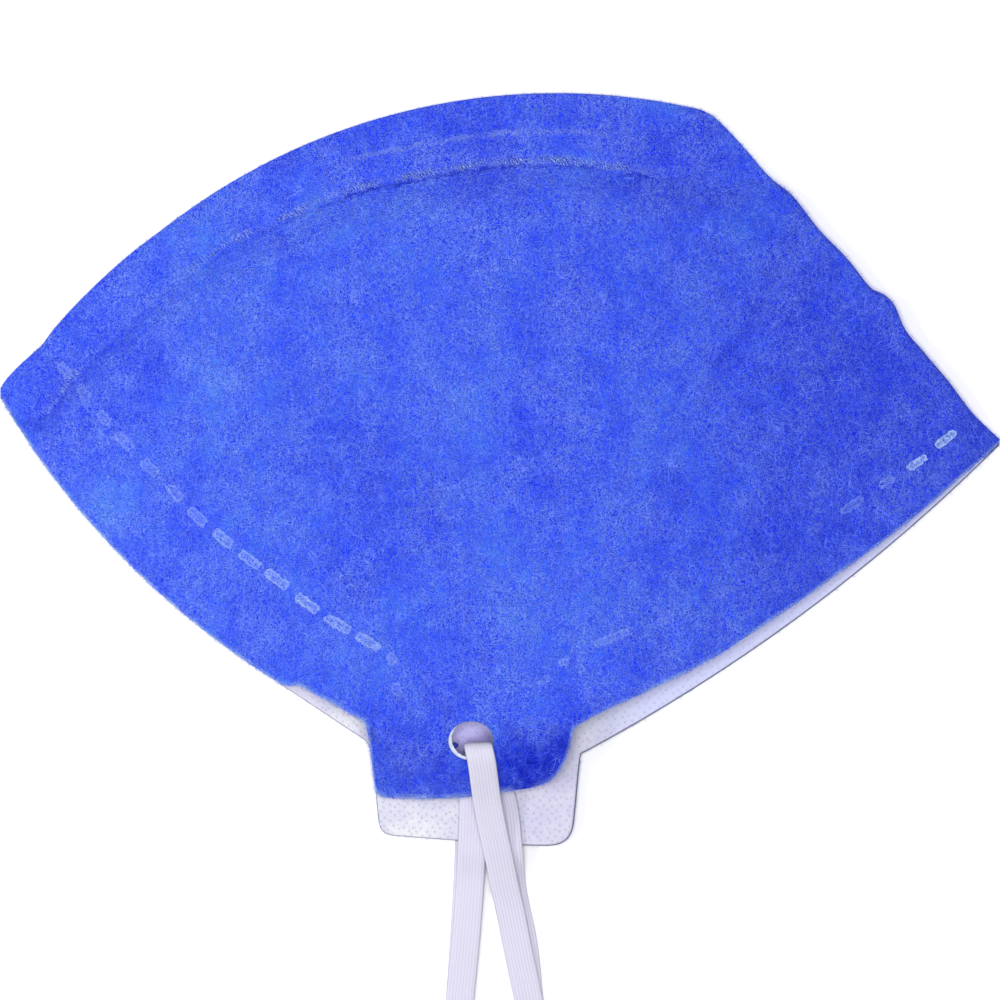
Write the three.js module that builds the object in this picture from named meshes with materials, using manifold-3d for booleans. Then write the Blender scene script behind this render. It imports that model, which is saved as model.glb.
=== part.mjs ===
// Folding respirator, lying folded flat: a blue nonwoven cover, a white lining in it and one elastic loop.
// Millimetres, +Z up, X along the folded mask from tip to tip, the open lower edge towards -Y.
import * as THREE from 'three';
import { mergeVertices } from 'three/addons/utils/BufferGeometryUtils.js';
import Module from 'manifold-3d';

const wasm = await Module();
wasm.setup();

// driving dimensions
const coverWall = 1.0; // nonwoven outer sheet
const liningWall = 1.0; // nonwoven inner sheet
const clearance = 0.35; // between neighbouring pieces
const hem = 0.7; // how far the lining stops short of the cover's lower edge
const seamRoom = 3.2; // how far the lining stops short of the weld and the fold
const elastic = { width: 5.4, thickness: 1.0, steps: 170 };
const halfLength = 98; // the grids reach just past both tips
const grid = { across: 33, belowMouth: 4, reach: 22 };
const pocketRows = [0.05, 0.12, 0.26, 0.45, 0.65, 0.85]; // shares of the way, mouth to seam
const flangeRows = [0.4, 1.1]; // shares of the way, seam to edge
const weld = { groove: 0.35, spread: 1.6 }; // pressed line where the two halves are welded
const nip = 2 * (liningWall + clearance) + 0.4; // room that the folded lining needs anywhere in the pocket
const closing = 2.8; // how far from the seam the pocket starts to close
const tab = { left: -25.7, right: 15.6, lift: 1.4, droop: 6.9, length: 15, blend: 24 };
const nearHole = { x: -5.6, y: -46.9, rx: 4.6, ry: 4.2 };
const farHole = { x: -4.6, y: -51.4, rx: 4.7, ry: 4.7 };

// Sections across the mask: mouth is the open edge without its tab, seam the weld or the inside of the
// fold, edge the outside, and swell is how far the upper half stands off the lower one.
const sections = [
  { x: -98.0, mouth: 19.5, seam: 20.9, edge: 21.4, swell: 0.0 },
  { x: -88.0, mouth: 4.6, seam: 18.2, edge: 32.5, swell: 0.9 },
  { x: -78.0, mouth: -7.6, seam: 30.0, edge: 43.6, swell: 2.4 },
  { x: -58.5, mouth: -25.5, seam: 46.4, edge: 58.6, swell: 5.2 },
  { x: -39.0, mouth: -38.6, seam: 56.5, edge: 69.2, swell: 6.8 },
  { x: -19.5, mouth: -45.0, seam: 62.6, edge: 75.9, swell: 8.0 },
  { x: 0.0, mouth: -46.0, seam: 66.0, edge: 79.1, swell: 8.4 },
  { x: 19.5, mouth: -43.5, seam: 65.7, edge: 79.4, swell: 8.1 },
  { x: 39.0, mouth: -34.0, seam: 63.0, edge: 76.2, swell: 7.1 },
  { x: 53.2, mouth: -24.5, seam: 60.6, edge: 62.3, swell: 6.2 },
  { x: 65.0, mouth: -16.5, seam: 47.8, edge: 49.4, swell: 4.6 },
  { x: 78.0, mouth: -6.4, seam: 33.4, edge: 35.2, swell: 2.8 },
  { x: 88.0, mouth: 2.2, seam: 20.6, edge: 22.2, swell: 1.2 },
  { x: 98.0, mouth: 10.4, seam: 11.2, edge: 11.8, swell: 0.0 },
];

// Soft folds pressed into the upper half: each runs from one end to the other, sinking by depth.
const folds = [
  { fromX: 58, fromY: 50, toX: 40, toY: 17, depth: 0.8, spread: 3.6 },
  { fromX: 76, fromY: 33, toX: 53, toY: 19, depth: 0.9, spread: 3.6 },
  { fromX: -84, fromY: 26, toX: -70, toY: 22, depth: 0.4, spread: 3.4 },
];

// Centre line of the elastic, once round: over the near tab, through its hole, back under it to the
// first head strap's end, along the floor to the far hole, through it and out to the second end.
const route = [
  { x: 18.3, y: -186.0, z: 2.1 },
  { x: 12.4, y: -140.0, z: 1.85 },
  { x: 5.6, y: -97.5, z: 1.85 },
  { x: 3.3, y: -87.0, z: 1.85 },
  { x: 1.9, y: -79.5, z: 2.2 },
  { x: 0.9, y: -74.5, z: 3.6 },
  { x: 0.0, y: -70.0, z: 5.3 },
  { x: -0.9, y: -66.0, z: 6.8 },
  { x: -1.8, y: -62.0, z: 8.2 },
  { x: -2.6, y: -58.0, z: 9.9 },
  { x: -3.2, y: -55.0, z: 11.8 },
  { x: -3.7, y: -52.5, z: 13.6 },
  { x: -4.1, y: -50.4, z: 14.9 },
  { x: -4.5, y: -48.9, z: 15.2 },
  { x: -4.8, y: -47.9, z: 14.2 },
  { x: -4.9, y: -47.7, z: 12.7 },
  { x: -5.0, y: -48.3, z: 11.3 },
  { x: -5.1, y: -49.7, z: 10.3 },
  { x: -5.2, y: -51.5, z: 9.3 },
  { x: -5.2, y: -54.0, z: 7.7 },
  { x: -5.3, y: -56.4, z: 6.2 },
  { x: -5.3, y: -58.4, z: 5.2 },
  { x: -5.4, y: -61.0, z: 4.7 },
  { x: -5.6, y: -64.0, z: 4.6 },
  { x: -5.8, y: -67.7, z: 4.55 },
  { x: -5.9, y: -70.7, z: 3.3 },
  { x: -6.0, y: -73.7, z: 2.1 },
  { x: -6.2, y: -77.5, z: 1.85 },
  { x: -6.6, y: -84.0, z: 1.85 },
  { x: -7.8, y: -97.5, z: 1.85 },
  { x: -11.2, y: -140.0, z: 1.85 },
  { x: -15.4, y: -186.0, z: 2.1 },
  { x: -15.8, y: -190.0, z: 2.6 },
  { x: -16.0, y: -191.6, z: 1.6 },
  { x: -15.8, y: -190.2, z: 0.65 },
  { x: -15.4, y: -187.0, z: 0.5 },
  { x: -11.2, y: -140.0, z: 0.5 },
  { x: -7.8, y: -97.5, z: 0.5 },
  { x: -6.4, y: -76.0, z: 0.5 },
  { x: -5.8, y: -63.0, z: 0.5 },
  { x: -5.4, y: -57.5, z: 0.5 },
  { x: -4.9, y: -55.6, z: 0.5 },
  { x: -4.6, y: -54.2, z: 0.6 },
  { x: -4.5, y: -53.0, z: 1.3 },
  { x: -4.3, y: -52.4, z: 2.4 },
  { x: -4.0, y: -52.6, z: 3.6 },
  { x: -3.7, y: -53.5, z: 4.5 },
  { x: -3.0, y: -54.8, z: 4.7 },
  { x: -1.7, y: -56.4, z: 4.6 },
  { x: 0.2, y: -58.4, z: 4.6 },
  { x: 1.3, y: -62.0, z: 4.6 },
  { x: 1.9, y: -67.5, z: 4.6 },
  { x: 2.2, y: -70.3, z: 3.4 },
  { x: 2.5, y: -73.1, z: 1.5 },
  { x: 2.7, y: -76.0, z: 0.5 },
  { x: 3.2, y: -84.0, z: 0.5 },
  { x: 5.6, y: -97.5, z: 0.5 },
  { x: 12.4, y: -140.0, z: 0.5 },
  { x: 18.3, y: -187.0, z: 0.5 },
  { x: 18.8, y: -190.2, z: 0.65 },
  { x: 19.0, y: -191.6, z: 1.6 },
  { x: 18.8, y: -190.0, z: 2.6 },
];

// smooth curve through one column of the sections
function columnOf(name) {
  const stations = sections.map((row) => row.x);
  const values = sections.map((row) => row[name]);
  const curve = new THREE.CubicInterpolant(stations, values, 1);
  return (x) => curve.evaluate(x)[0];
}

const mouthAt = columnOf('mouth');
const seamAt = columnOf('seam');
const edgeAt = columnOf('edge');
const swellAt = columnOf('swell');
const { smoothstep, clamp } = THREE.MathUtils;

// 1 in the middle of the mask, falling to 0 at both tips
function awayFromTips(x) {
  return 1 - smoothstep(Math.abs(x), 93, 97.5);
}

// share of the way from the open edge to the seam
function shareUp(x, y) {
  return (y - mouthAt(x)) / (seamAt(x) - mouthAt(x));
}

// 1 on the tab, 0 on the rest of the mask
function onTab(x, y) {
  const left = smoothstep(x, tab.left - tab.blend, tab.left);
  const right = 1 - smoothstep(x, tab.right, tab.right + tab.blend);
  return left * right * smoothstep(mouthAt(x) + 9 - y, 0, 12);
}

// height of the lower half's underside: flat on the floor, with the tab raised over the strap below it
function floorAt(x, y) {
  return tab.lift * onTab(x, y);
}

// depth of the folds at a point
function foldAt(x, y) {
  const point = new THREE.Vector3(x, y, 0);
  return folds.reduce((sum, fold) => {
    const line = new THREE.Line3(new THREE.Vector3(fold.fromX, fold.fromY, 0),
      new THREE.Vector3(fold.toX, fold.toY, 0));
    const away = line.closestPointToPoint(point, true, new THREE.Vector3()).distanceTo(point);
    return sum + fold.depth * Math.exp(-((away / fold.spread) ** 2));
  }, 0);
}

// clear height between the two halves of the cover
function gapAt(x, y) {
  const share = clamp(shareUp(x, y), 0, 1);
  const late = clamp(1 - (seamAt(x) - y) / closing, 0, 1);
  const room = nip * awayFromTips(x) * (0.1 + 0.9 * Math.sqrt(1 - late * late));
  const arch = Math.cos(share * Math.PI / 2) ** 1.15;
  const beyond = smoothstep(mouthAt(x) - y, 0, tab.length);
  return room + swellAt(x) * arch - tab.droop * beyond * onTab(x, y) - foldAt(x, y) * arch ** 0.3;
}

// underside of the upper half of the cover
function ceilingAt(x, y) {
  return floorAt(x, y) + coverWall + Math.max(gapAt(x, y), 0.02);
}

// outside of the upper half: pocket, pressed weld line and flange
function topAt(x, y) {
  const past = shareUp(x, y) >= 1;
  const groove = weld.groove * Math.exp(-(((y - seamAt(x)) / weld.spread) ** 2));
  const roof = past ? coverWall : ceilingAt(x, y);
  const flange = 1 - smoothstep(x, 42, 53);
  return roof + coverWall - groove * flange + (past ? (1 - flange) * 0.6 : 0);
}

// a three.js geometry as a solid that can be joined and cut
function toSolid(geometry) {
  geometry.deleteAttribute('normal');
  geometry.deleteAttribute('uv');
  const merged = mergeVertices(geometry, 1e-4);
  return new wasm.Manifold(new wasm.Mesh({
    numProp: 3,
    vertProperties: new Float32Array(merged.attributes.position.array),
    triVerts: new Uint32Array(merged.index.array),
  }));
}

// a solid back as a named mesh
function toMesh(solid, name, look) {
  const mesh = solid.getMesh();
  const geometry = new THREE.BufferGeometry();
  geometry.setAttribute('position', new THREE.BufferAttribute(mesh.vertProperties, 3));
  geometry.setIndex(new THREE.BufferAttribute(mesh.triVerts, 1));
  geometry.computeVertexNormals();
  const result = new THREE.Mesh(geometry, new THREE.MeshStandardMaterial(look));
  result.name = name;
  return result;
}

// rows of the grid at one x, from below the tab, past the mouth and the seam, to the edge
function rowsAt(x) {
  const [mouth, seam, edge] = [mouthAt(x), seamAt(x), edgeAt(x)];
  const below = Array.from({ length: grid.belowMouth }, (_, i) => (
    mouth - grid.reach * (1 - i / grid.belowMouth)));
  const full = seam - closing;
  const inside = pocketRows.map((share) => mouth + share * (full - mouth));
  const outside = flangeRows.map((share) => seam + share * (edge - seam) + (share > 1 ? 1.5 : 0));
  return [...below, mouth, ...inside, full, seam - closing / 3, seam, ...outside];
}

// A slab over the whole mask: a box with a fine grid, its lower and upper faces moved to two heights.
function blanket(under, upper) {
  const rows = rowsAt(0).length - 1;
  const slab = new THREE.BoxGeometry(1, 1, 1, grid.across, rows, 1);
  const at = slab.attributes.position;
  for (let i = 0; i < at.count; i += 1) {
    const x = at.getX(i) * 2 * halfLength;
    const y = rowsAt(x)[Math.round((at.getY(i) + 0.5) * rows)];
    at.setXYZ(i, x, y, at.getZ(i) > 0 ? upper(x, y) : under(x, y));
  }
  return toSolid(slab);
}

// straight-sided solid over an outline, tall enough for the whole mask
function prism(outline) {
  const geometry = new THREE.ExtrudeGeometry(outline, { depth: 40, curveSegments: 6, bevelEnabled: false });
  geometry.translate(0, 0, -10);
  return toSolid(geometry);
}

// upper boundary of both halves: round welded arc, corner, and the folded edge down to the right tip
function upperBoundary(shape) {
  const arc = new THREE.Vector2(11.5, -47.9);
  const point = (x, y) => new THREE.Vector2(x, y);
  shape.lineTo(-97.3, 22.2);
  shape.splineThru([point(-92.9, 26.5), point(-88.1, 32.3), point(-77.9, 43.6)]);
  shape.absarc(arc.x, arc.y, 127.6, THREE.MathUtils.degToRad(134.4), THREE.MathUtils.degToRad(77.5), true);
  shape.quadraticCurveTo(41.6, 75.4, 43.2, 73.5);
  shape.splineThru([point(53.4, 62.0), point(56.4, 59.9), point(62.0, 52.6), point(72.7, 41.0)]);
  shape.quadraticCurveTo(76.8, 39.6, 78.2, 34.9);
  shape.splineThru([point(87.2, 23.4), point(92.2, 16.4), point(97.2, 11.9)]);
}

// lower half: its tab is the longer one
function farOutline() {
  const shape = new THREE.Shape();
  shape.moveTo(-97.3, 19.4);
  upperBoundary(shape);
  shape.lineTo(96.2, 9.8);
  shape.quadraticCurveTo(60, -23.0, 16.6, -48.7);
  shape.quadraticCurveTo(15.3, -49.6, 15.3, -51.0);
  shape.lineTo(14.5, -61.6);
  shape.quadraticCurveTo(14.3, -67.2, 8.8, -67.3);
  shape.lineTo(-8.6, -66.3);
  shape.lineTo(-19.8, -65.5);
  shape.quadraticCurveTo(-23.6, -65.4, -24.0, -61.4);
  shape.lineTo(-25.9, -47.8);
  lowerLeft(shape);
  return shape;
}

// upper half: the shorter tab, with one corner well rounded
function nearOutline() {
  const shape = new THREE.Shape();
  shape.moveTo(-97.3, 19.4);
  upperBoundary(shape);
  shape.lineTo(96.9, 10.9);
  shape.quadraticCurveTo(58.0, -21.6, 20.4, -40.6);
  shape.quadraticCurveTo(15.6, -42.6, 14.8, -44.8);
  shape.quadraticCurveTo(13.6, -55.0, 8.2, -55.6);
  shape.lineTo(-9.8, -58.1);
  shape.lineTo(-22.0, -58.0);
  shape.quadraticCurveTo(-24.2, -57.8, -24.4, -55.2);
  shape.lineTo(-25.9, -45.4);
  lowerLeft(shape);
  return shape;
}

// lower left edge, which both halves share, as one round stretch back to the left tip
function lowerLeft(shape) {
  shape.quadraticCurveTo(-26.6, -45.6, -29.3, -44.6);
  shape.absarc(30.5, 89.1, 145.0, THREE.MathUtils.degToRad(-114.8), THREE.MathUtils.degToRad(-150.9), true);
  shape.lineTo(-97.3, 19.4);
}

// an outline's solid with its lower edge and the sides of its tab drawn in by the hem
function hemmed(outline) {
  const solid = prism(outline);
  return solid.translate([hem, hem, 0]).intersect(solid.translate([-hem, hem, 0]));
}

// the plan of the pocket: everything below a line that keeps a distance to the seam
function pocketPlan(back, tip) {
  const stations = Array.from({ length: grid.across * 2 + 1 }, (_, i) => (
    THREE.MathUtils.lerp(-tip, tip, i / (grid.across * 2))));
  const upper = stations.map((x) => {
    const slope = (seamAt(x + 0.5) - seamAt(x - 0.5));
    return new THREE.Vector2(x, seamAt(x) - back * Math.hypot(1, slope));
  });
  const shape = new THREE.Shape(upper);
  shape.lineTo(tip, -90);
  shape.lineTo(-tip, -90);
  return shape;
}

// round hole through one half
function punch(hole, from, to, wider = 0) {
  const pin = new THREE.CylinderGeometry(1, 1, to - from, 28);
  pin.rotateX(Math.PI / 2);
  pin.scale(hole.rx + wider, hole.ry + wider, 1);
  pin.translate(hole.x, hole.y, (from + to) / 2);
  return toSolid(pin);
}

const holeSplit = 6.5; // height that parts the two holes

function withHoles(solid, wider) {
  return solid.subtract(punch(nearHole, holeSplit, 20, wider)).subtract(punch(farHole, -1, holeSplit, wider));
}

// blue sheet: a solid pillow with the pocket taken out of it, and the lower half's longer edge added
function makeCover() {
  const pillow = blanket(floorAt, topAt).intersect(prism(nearOutline()));
  const pocket = blanket((x, y) => floorAt(x, y) + coverWall, ceilingAt).intersect(prism(pocketPlan(0, 96)));
  const lowerHalf = blanket(floorAt, (x, y) => floorAt(x, y) + coverWall).intersect(prism(farOutline()));
  return withHoles(pillow.subtract(pocket).add(lowerHalf), 0);
}

// white sheet: the same in the room that the cover leaves, clear of it all round
function makeLining() {
  const under = (x, y) => floorAt(x, y) + coverWall + clearance;
  const upper = (x, y) => Math.max(ceilingAt(x, y) - clearance, under(x, y) + 2 * liningWall);
  const plan = prism(pocketPlan(seamRoom, 89));
  const cavityPlan = prism(pocketPlan(seamRoom + liningWall, 88));
  const near = hemmed(nearOutline());
  const far = hemmed(farOutline());
  const pillow = blanket(under, upper).intersect(near).intersect(plan);
  const cavity = blanket((x, y) => under(x, y) + liningWall, (x, y) => upper(x, y) - liningWall + 0.01)
    .intersect(cavityPlan);
  const lowerHalf = blanket(under, (x, y) => under(x, y) + liningWall).intersect(far).intersect(plan);
  return withHoles(pillow.subtract(cavity).add(lowerHalf), 0.2);
}

// flat elastic: a flat section carried round the closed route, its width always level
function makeElastic() {
  const curve = new THREE.CatmullRomCurve3(route.map((p) => new THREE.Vector3(p.x, p.y, p.z)), true);
  const points = curve.getSpacedPoints(elastic.steps).slice(0, -1);
  points.forEach((point) => point.setZ(Math.max(point.z, elastic.thickness / 2)));
  const count = points.length;
  const along = points.map((_, i) => (
    points[(i + 1) % count].clone().sub(points[(i + count - 1) % count]).normalize()));
  const level = along.map((t) => new THREE.Vector3(-t.y, t.x, 0).multiplyScalar(t.y < 0 ? 1 : -1));
  const positions = [];
  const index = [];
  points.forEach((point, i) => {
    const width = new THREE.Vector3();
    for (let k = -4; k <= 4; k += 1) width.add(level[(i + k + count) % count]);
    width.normalize();
    const out = new THREE.Vector3().crossVectors(width, along[i]).normalize();
    [[-1, -1], [1, -1], [1, 1], [-1, 1]].forEach(([side, face]) => {
      const corner = point.clone().addScaledVector(width, side * elastic.width / 2)
        .addScaledVector(out, face * elastic.thickness / 2);
      positions.push(corner.x, corner.y, corner.z);
    });
    const next = ((i + 1) % count) * 4;
    for (let k = 0; k < 4; k += 1) {
      const [a, b, c, d] = [i * 4 + k, i * 4 + (k + 1) % 4, next + (k + 1) % 4, next + k];
      index.push(a, c, b, a, d, c);
    }
  });
  const geometry = new THREE.BufferGeometry();
  geometry.setAttribute('position', new THREE.Float32BufferAttribute(positions, 3));
  geometry.setIndex(index);
  return toSolid(geometry);
}

const mask = new THREE.Group();
mask.add(toMesh(makeCover(), 'cover', { color: '#4964e8', roughness: 0.9, metalness: 0 }));
mask.add(toMesh(makeLining(), 'lining', { color: '#eeeef6', roughness: 0.95, metalness: 0 }));
mask.add(toMesh(makeElastic(), 'head_strap', { color: '#e4e1f0', roughness: 0.85, metalness: 0 }));

// the origin is the middle of the footprint, on the surface that the mask lies on
const box = new THREE.Box3().setFromObject(mask);
const middle = box.getCenter(new THREE.Vector3());
mask.position.set(-middle.x, -middle.y, -box.min.z);

export default mask;
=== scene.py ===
import bpy
import numpy as np
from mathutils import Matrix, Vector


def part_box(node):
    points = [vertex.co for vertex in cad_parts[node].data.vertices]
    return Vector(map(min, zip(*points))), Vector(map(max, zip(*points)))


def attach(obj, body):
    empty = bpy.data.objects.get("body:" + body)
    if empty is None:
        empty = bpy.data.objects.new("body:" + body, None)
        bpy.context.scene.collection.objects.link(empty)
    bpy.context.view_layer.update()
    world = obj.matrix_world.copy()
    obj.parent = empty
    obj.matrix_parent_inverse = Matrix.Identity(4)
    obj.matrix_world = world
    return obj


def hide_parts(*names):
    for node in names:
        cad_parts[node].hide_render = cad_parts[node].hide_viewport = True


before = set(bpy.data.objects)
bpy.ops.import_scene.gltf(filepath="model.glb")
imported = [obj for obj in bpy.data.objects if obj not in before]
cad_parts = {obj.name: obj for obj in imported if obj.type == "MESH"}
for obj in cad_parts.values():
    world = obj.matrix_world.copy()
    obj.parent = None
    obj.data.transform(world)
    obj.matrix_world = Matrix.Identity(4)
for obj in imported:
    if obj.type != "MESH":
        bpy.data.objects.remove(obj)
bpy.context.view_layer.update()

mm = 0.001
fullTurn = 6.28  # headings and phases are drawn from 0 to here
coverCorners = [np.array(corner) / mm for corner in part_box("cover")]

# The folded mask lies flat, its two halves one above the other. Its own plan is in millimetres from
# the middle between its tips, and home is where that point lies in the frame.
maskSet = {
    "tipX": 97.3,        # half the length, tip to tip
    "archTop": 79.64,    # highest point of the welded arc
    "wall": 1.0,         # felt
    "nip": 3.0,          # height that the folded lining needs in the pocket
    "closing": 9.0,      # the pocket closes over this distance to the weld
    "tabFrom": -25.7,
    "tabTo": 15.6,
    "tabBlend": 24.0,    # the tab's bend dies out over this distance on either side
    "tabLift": 1.4,      # the far tab lies on a strap
    "tabDroop": 6.9,     # the near tab sinks towards it
    "tabLength": 15.0,
}
home = np.array([coverCorners[0][0] + maskSet["tipX"], coverCorners[1][1] - maskSet["archTop"], 0.0])

cameraSet = {"across": 195.0, "lens": 300.0, "sensor": 36.0}  # a long lens, straight above the mask


# its height is the width it sees, times focal length over sensor width
def aimCamera():
    data = bpy.data.cameras.new("camera")
    data.lens = cameraSet["lens"]
    data.sensor_width = cameraSet["sensor"]
    camera = bpy.data.objects.new("camera", data)
    height = cameraSet["across"] * cameraSet["lens"] / cameraSet["sensor"]
    camera.location = (home + [0, 0, height]) * mm
    bpy.context.scene.collection.objects.link(camera)
    bpy.context.scene.camera = camera
    bpy.context.scene.view_settings.view_transform = "Standard"


aimCamera()
print("camera aimed")


# Smooth curve through the rows of a table that doesn't overshoot them: a cubic between two rows, with
# the weighted mean of both slopes at a row, or level where the slopes turn.
def steady(rows):
    xs, ys = np.array(rows, float).T
    step = np.diff(xs)
    slope = np.diff(ys) / step
    middle = (slope[:-1] * step[1:] + slope[1:] * step[:-1]) / (step[1:] + step[:-1])
    limit = 2.5 * np.minimum(abs(slope[:-1]), abs(slope[1:]))
    middle = np.where(slope[:-1] * slope[1:] > 0, np.clip(middle, -limit, limit), 0)
    tangent = np.concatenate([[slope[0]], middle, [slope[-1]]])

    def at(x):
        k = np.clip(np.searchsorted(xs, x) - 1, 0, len(xs) - 2)
        h = step[k]
        t = np.clip((x - xs[k]) / h, 0, 1)
        return ((2 * t**3 - 3 * t**2 + 1) * ys[k] + (t**3 - 2 * t**2 + t) * h * tangent[k]
                + (3 * t**2 - 2 * t**3) * ys[k + 1] + (t**3 - t**2) * h * tangent[k + 1])
    return at


# smooth step from 0 at low to 1 at high: three t squared less two t cubed
def ease(x, low, high):
    t = np.clip((x - low) / (high - low), 0, 1)
    return t * t * (3 - 2 * t)


# Line through points with its corners cut to a parabola: a row is x, y and how far from the corner
# the cut begins.
def roundedLine(rows, count=9):
    table = np.array(rows, float)
    points, cut = table[:, :2], table[:, 2:]
    sides = [np.roll(points, 1, 0) - points, np.roll(points, -1, 0) - points]
    sizes = [np.linalg.norm(side, axis=1, keepdims=True) for side in sides]
    start, end = (points + side / size * np.minimum(cut, size / 2) for side, size in zip(sides, sizes))
    start[[0, -1]] = end[[0, -1]] = points[[0, -1]]
    t = np.linspace(0, 1, count)[None, :, None]
    curve = (1 - t) ** 2 * start[:, None] + 2 * t * (1 - t) * points[:, None] + t**2 * end[:, None]
    return curve.reshape(-1, 2)


# evenly spaced points on a smooth curve through a few
def evenLine(rows, count=50):
    table = np.array(rows, float)
    travelled = np.concatenate([[0], np.cumsum(np.linalg.norm(np.diff(table, axis=0), axis=1))])
    at = np.linspace(0, travelled[-1], count)
    return np.stack([steady(np.stack([travelled, table[:, axis]], 1))(at) for axis in (0, 1)], 1)


# gentle waves: sines of unlike lengths and headings added, each about one unit high
def waves(x, y, size, seed, count=7):
    draw = np.random.default_rng(seed)
    turn, shift, stretch = draw.uniform([[0], [0], [0.7]], [[fullTurn], [fullTurn], [1.5]], (3, count))
    total = sum(np.sin((x * np.cos(a) + y * np.sin(a)) * fullTurn / (size * s) + b)
                for a, b, s in zip(turn, shift, stretch))
    return total / np.sqrt(count)


# Both halves share the outer edge: the blunt tip, the welded arc, a corner, and the wavy fold that
# runs to the other tip.
upperArc = {"centre": (11.0, -45.0), "radius": 124.3, "from": -66.0, "to": 39.1}
bluntTip = steady([
    (-97.3, 21.9), (-96.5, 23.1), (-94.5, 25.4), (-92.4, 27.4), (-90.4, 29.2), (-89.1, 30.4),
    (-88.1, 31.8), (-86.8, 33.5), (-84.8, 35.8), (-77.9, 42.8), (-70.8, 49.0), (-66.0, 52.6)])
wavyFold = steady([
    (39.1, 76.1), (41.4, 74.9), (43.2, 73.3), (48.0, 68.2), (53.2, 62.3), (56.3, 59.9), (62.2, 52.6),
    (67.9, 46.7), (72.5, 41.1), (75.2, 39.7), (77.0, 37.6), (78.1, 34.8), (82.3, 29.1), (87.1, 23.4),
    (92.1, 16.9), (94.7, 14.3), (97.3, 11.9)])


# height of that edge: the blunt tip's curve, the circle's upper side, then the fold's curve
def upperEdge(x):
    arc = upperArc["centre"][1] + np.sqrt(upperArc["radius"] ** 2 - (x - upperArc["centre"][0]) ** 2)
    return np.where(x < upperArc["from"], bluntTip(x), np.where(x > upperArc["to"], wavyFold(x), arc))


# under side of a circle, as a line between two x
def underArc(centre, radius, fromX, toX):
    x = np.linspace(fromX, toX, 60)
    return np.stack([x, centre[1] - np.sqrt(radius**2 - (x - centre[0]) ** 2)], 1)


# each half's open edge: a long arc from the blunt tip, the tab, and another long arc
openArcs = {"left": ((43.8, 104.3), 164.4), "right": ((-144.7, 253.3), 342.7)}
nearTab = roundedLine([
    (-41.4, -35.9, 1.2), (-38.6, -35.9, 1.5), (-26.2, -42.9, 1.2), (-25.4, -46.0, 1.5),
    (-24.1, -57.7, 2.2), (-9.8, -58.1, 6.0), (8.9, -55.4, 4.2), (12.4, -51.8, 3.0),
    (14.3, -43.9, 1.6), (19.5, -41.1, 2.0), (39.0, -32.2, 8.0), (58.5, -19.4, 8.0),
    (78.0, -5.4, 8.0), (97.3, 11.1, 0.0)])
farTab = roundedLine([
    (-42.5, -36.1, 2.0), (-25.9, -47.0, 0.6), (-24.9, -49.5, 1.0), (-23.4, -65.15, 2.6),
    (-8.6, -66.3, 4.0), (4.7, -67.3, 3.0), (14.0, -67.4, 4.8), (15.7, -49.5, 0.9)])


# a line of points as a height over x; a tiny slope keeps its upright stretches in order
def heightOf(points):
    return lambda x: np.interp(x, np.maximum.accumulate(points[:, 0]) + np.arange(len(points)) * 1e-7,
                               points[:, 1])


nearEdge = heightOf(np.concatenate([underArc(*openArcs["left"], -maskSet["tipX"], -42.6), nearTab]))
farEdge = heightOf(np.concatenate([underArc(*openArcs["left"], -maskSet["tipX"], -44.5), farTab,
                                   underArc(*openArcs["right"], 17.0, maskSet["tipX"])]))

# sections across the mask, from the blunt tip to the other: the open edge without its tab, the weld
# or the inside of the fold, and how far the near half swells up
mouthAt = steady([
    (-98, 19.5), (-88, 4.6), (-78, -7.6), (-58.5, -25.5), (-39, -38.6), (-19.5, -45.0), (0, -46.0),
    (19.5, -43.5), (39, -34.0), (53.2, -24.5), (65, -16.5), (78, -6.4), (88, 2.2), (98, 10.4)])
weldAt = steady([
    (-98, 18.6), (-93, 16.2), (-88.1, 18.6), (-83.3, 24.4), (-75.7, 32.6), (-69.6, 38.2), (-63.4, 43.1),
    (-52.7, 50.3), (-44.7, 54.2), (-35.3, 58.2), (-29.1, 60.6), (-16.6, 63.4), (-10.5, 64.5),
    (-2.9, 65.7), (3.9, 66.3), (14.0, 66.3), (24.4, 64.9), (31.2, 63.9), (38.0, 63.3), (47.0, 62.0),
    (53.2, 60.4), (65, 47.8), (78, 33.4), (88, 20.6), (98, 10.8)])
swellAt = steady([
    (-98, 0.0), (-88, 0.9), (-78, 2.4), (-58.5, 5.2), (-39, 6.8), (-19.5, 8.0), (0, 8.4), (19.5, 8.1),
    (39, 7.1), (53.2, 6.2), (65, 4.6), (78, 2.8), (88, 1.2), (98, 0.0)])


# 1 on the tab, falling to 0 around it
def onTab(x, y):
    left = ease(x, maskSet["tabFrom"] - maskSet["tabBlend"], maskSet["tabFrom"])
    right = 1 - ease(x, maskSet["tabTo"], maskSet["tabTo"] + maskSet["tabBlend"])
    return left * right * ease(mouthAt(x) + 9 - y, 0, 12)


# underside of the far half, lifted only under the tab
def floorAt(x, y):
    return maskSet["tabLift"] * onTab(x, y)


# 0 along the weld, 1 along the fold
def alongFold(x):
    return ease(x, 45, 56)


# Clear height between the halves: room for the lining, closing to the weld, and a swell that follows
# a cosine from the open edge to the weld. On the tab it sinks again.
def gapAt(x, y):
    depth = weldAt(x) - mouthAt(x)
    share = np.clip((y - mouthAt(x)) / depth, 0, 1)
    width = np.minimum(maskSet["closing"], 0.6 * depth)
    closed = ease(weldAt(x) - y, 0, width)
    room = maskSet["nip"] * (1 - ease(abs(x), 88, 97)) * (closed + (1 - closed) * alongFold(x))
    swell = swellAt(x) * np.cos(share * np.pi / 2) ** 1.15
    sunk = maskSet["tabDroop"] * ease(mouthAt(x) - y, 0, maskSet["tabLength"]) * onTab(x, y)
    return np.maximum(room + swell - sunk, 0.02)


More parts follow.
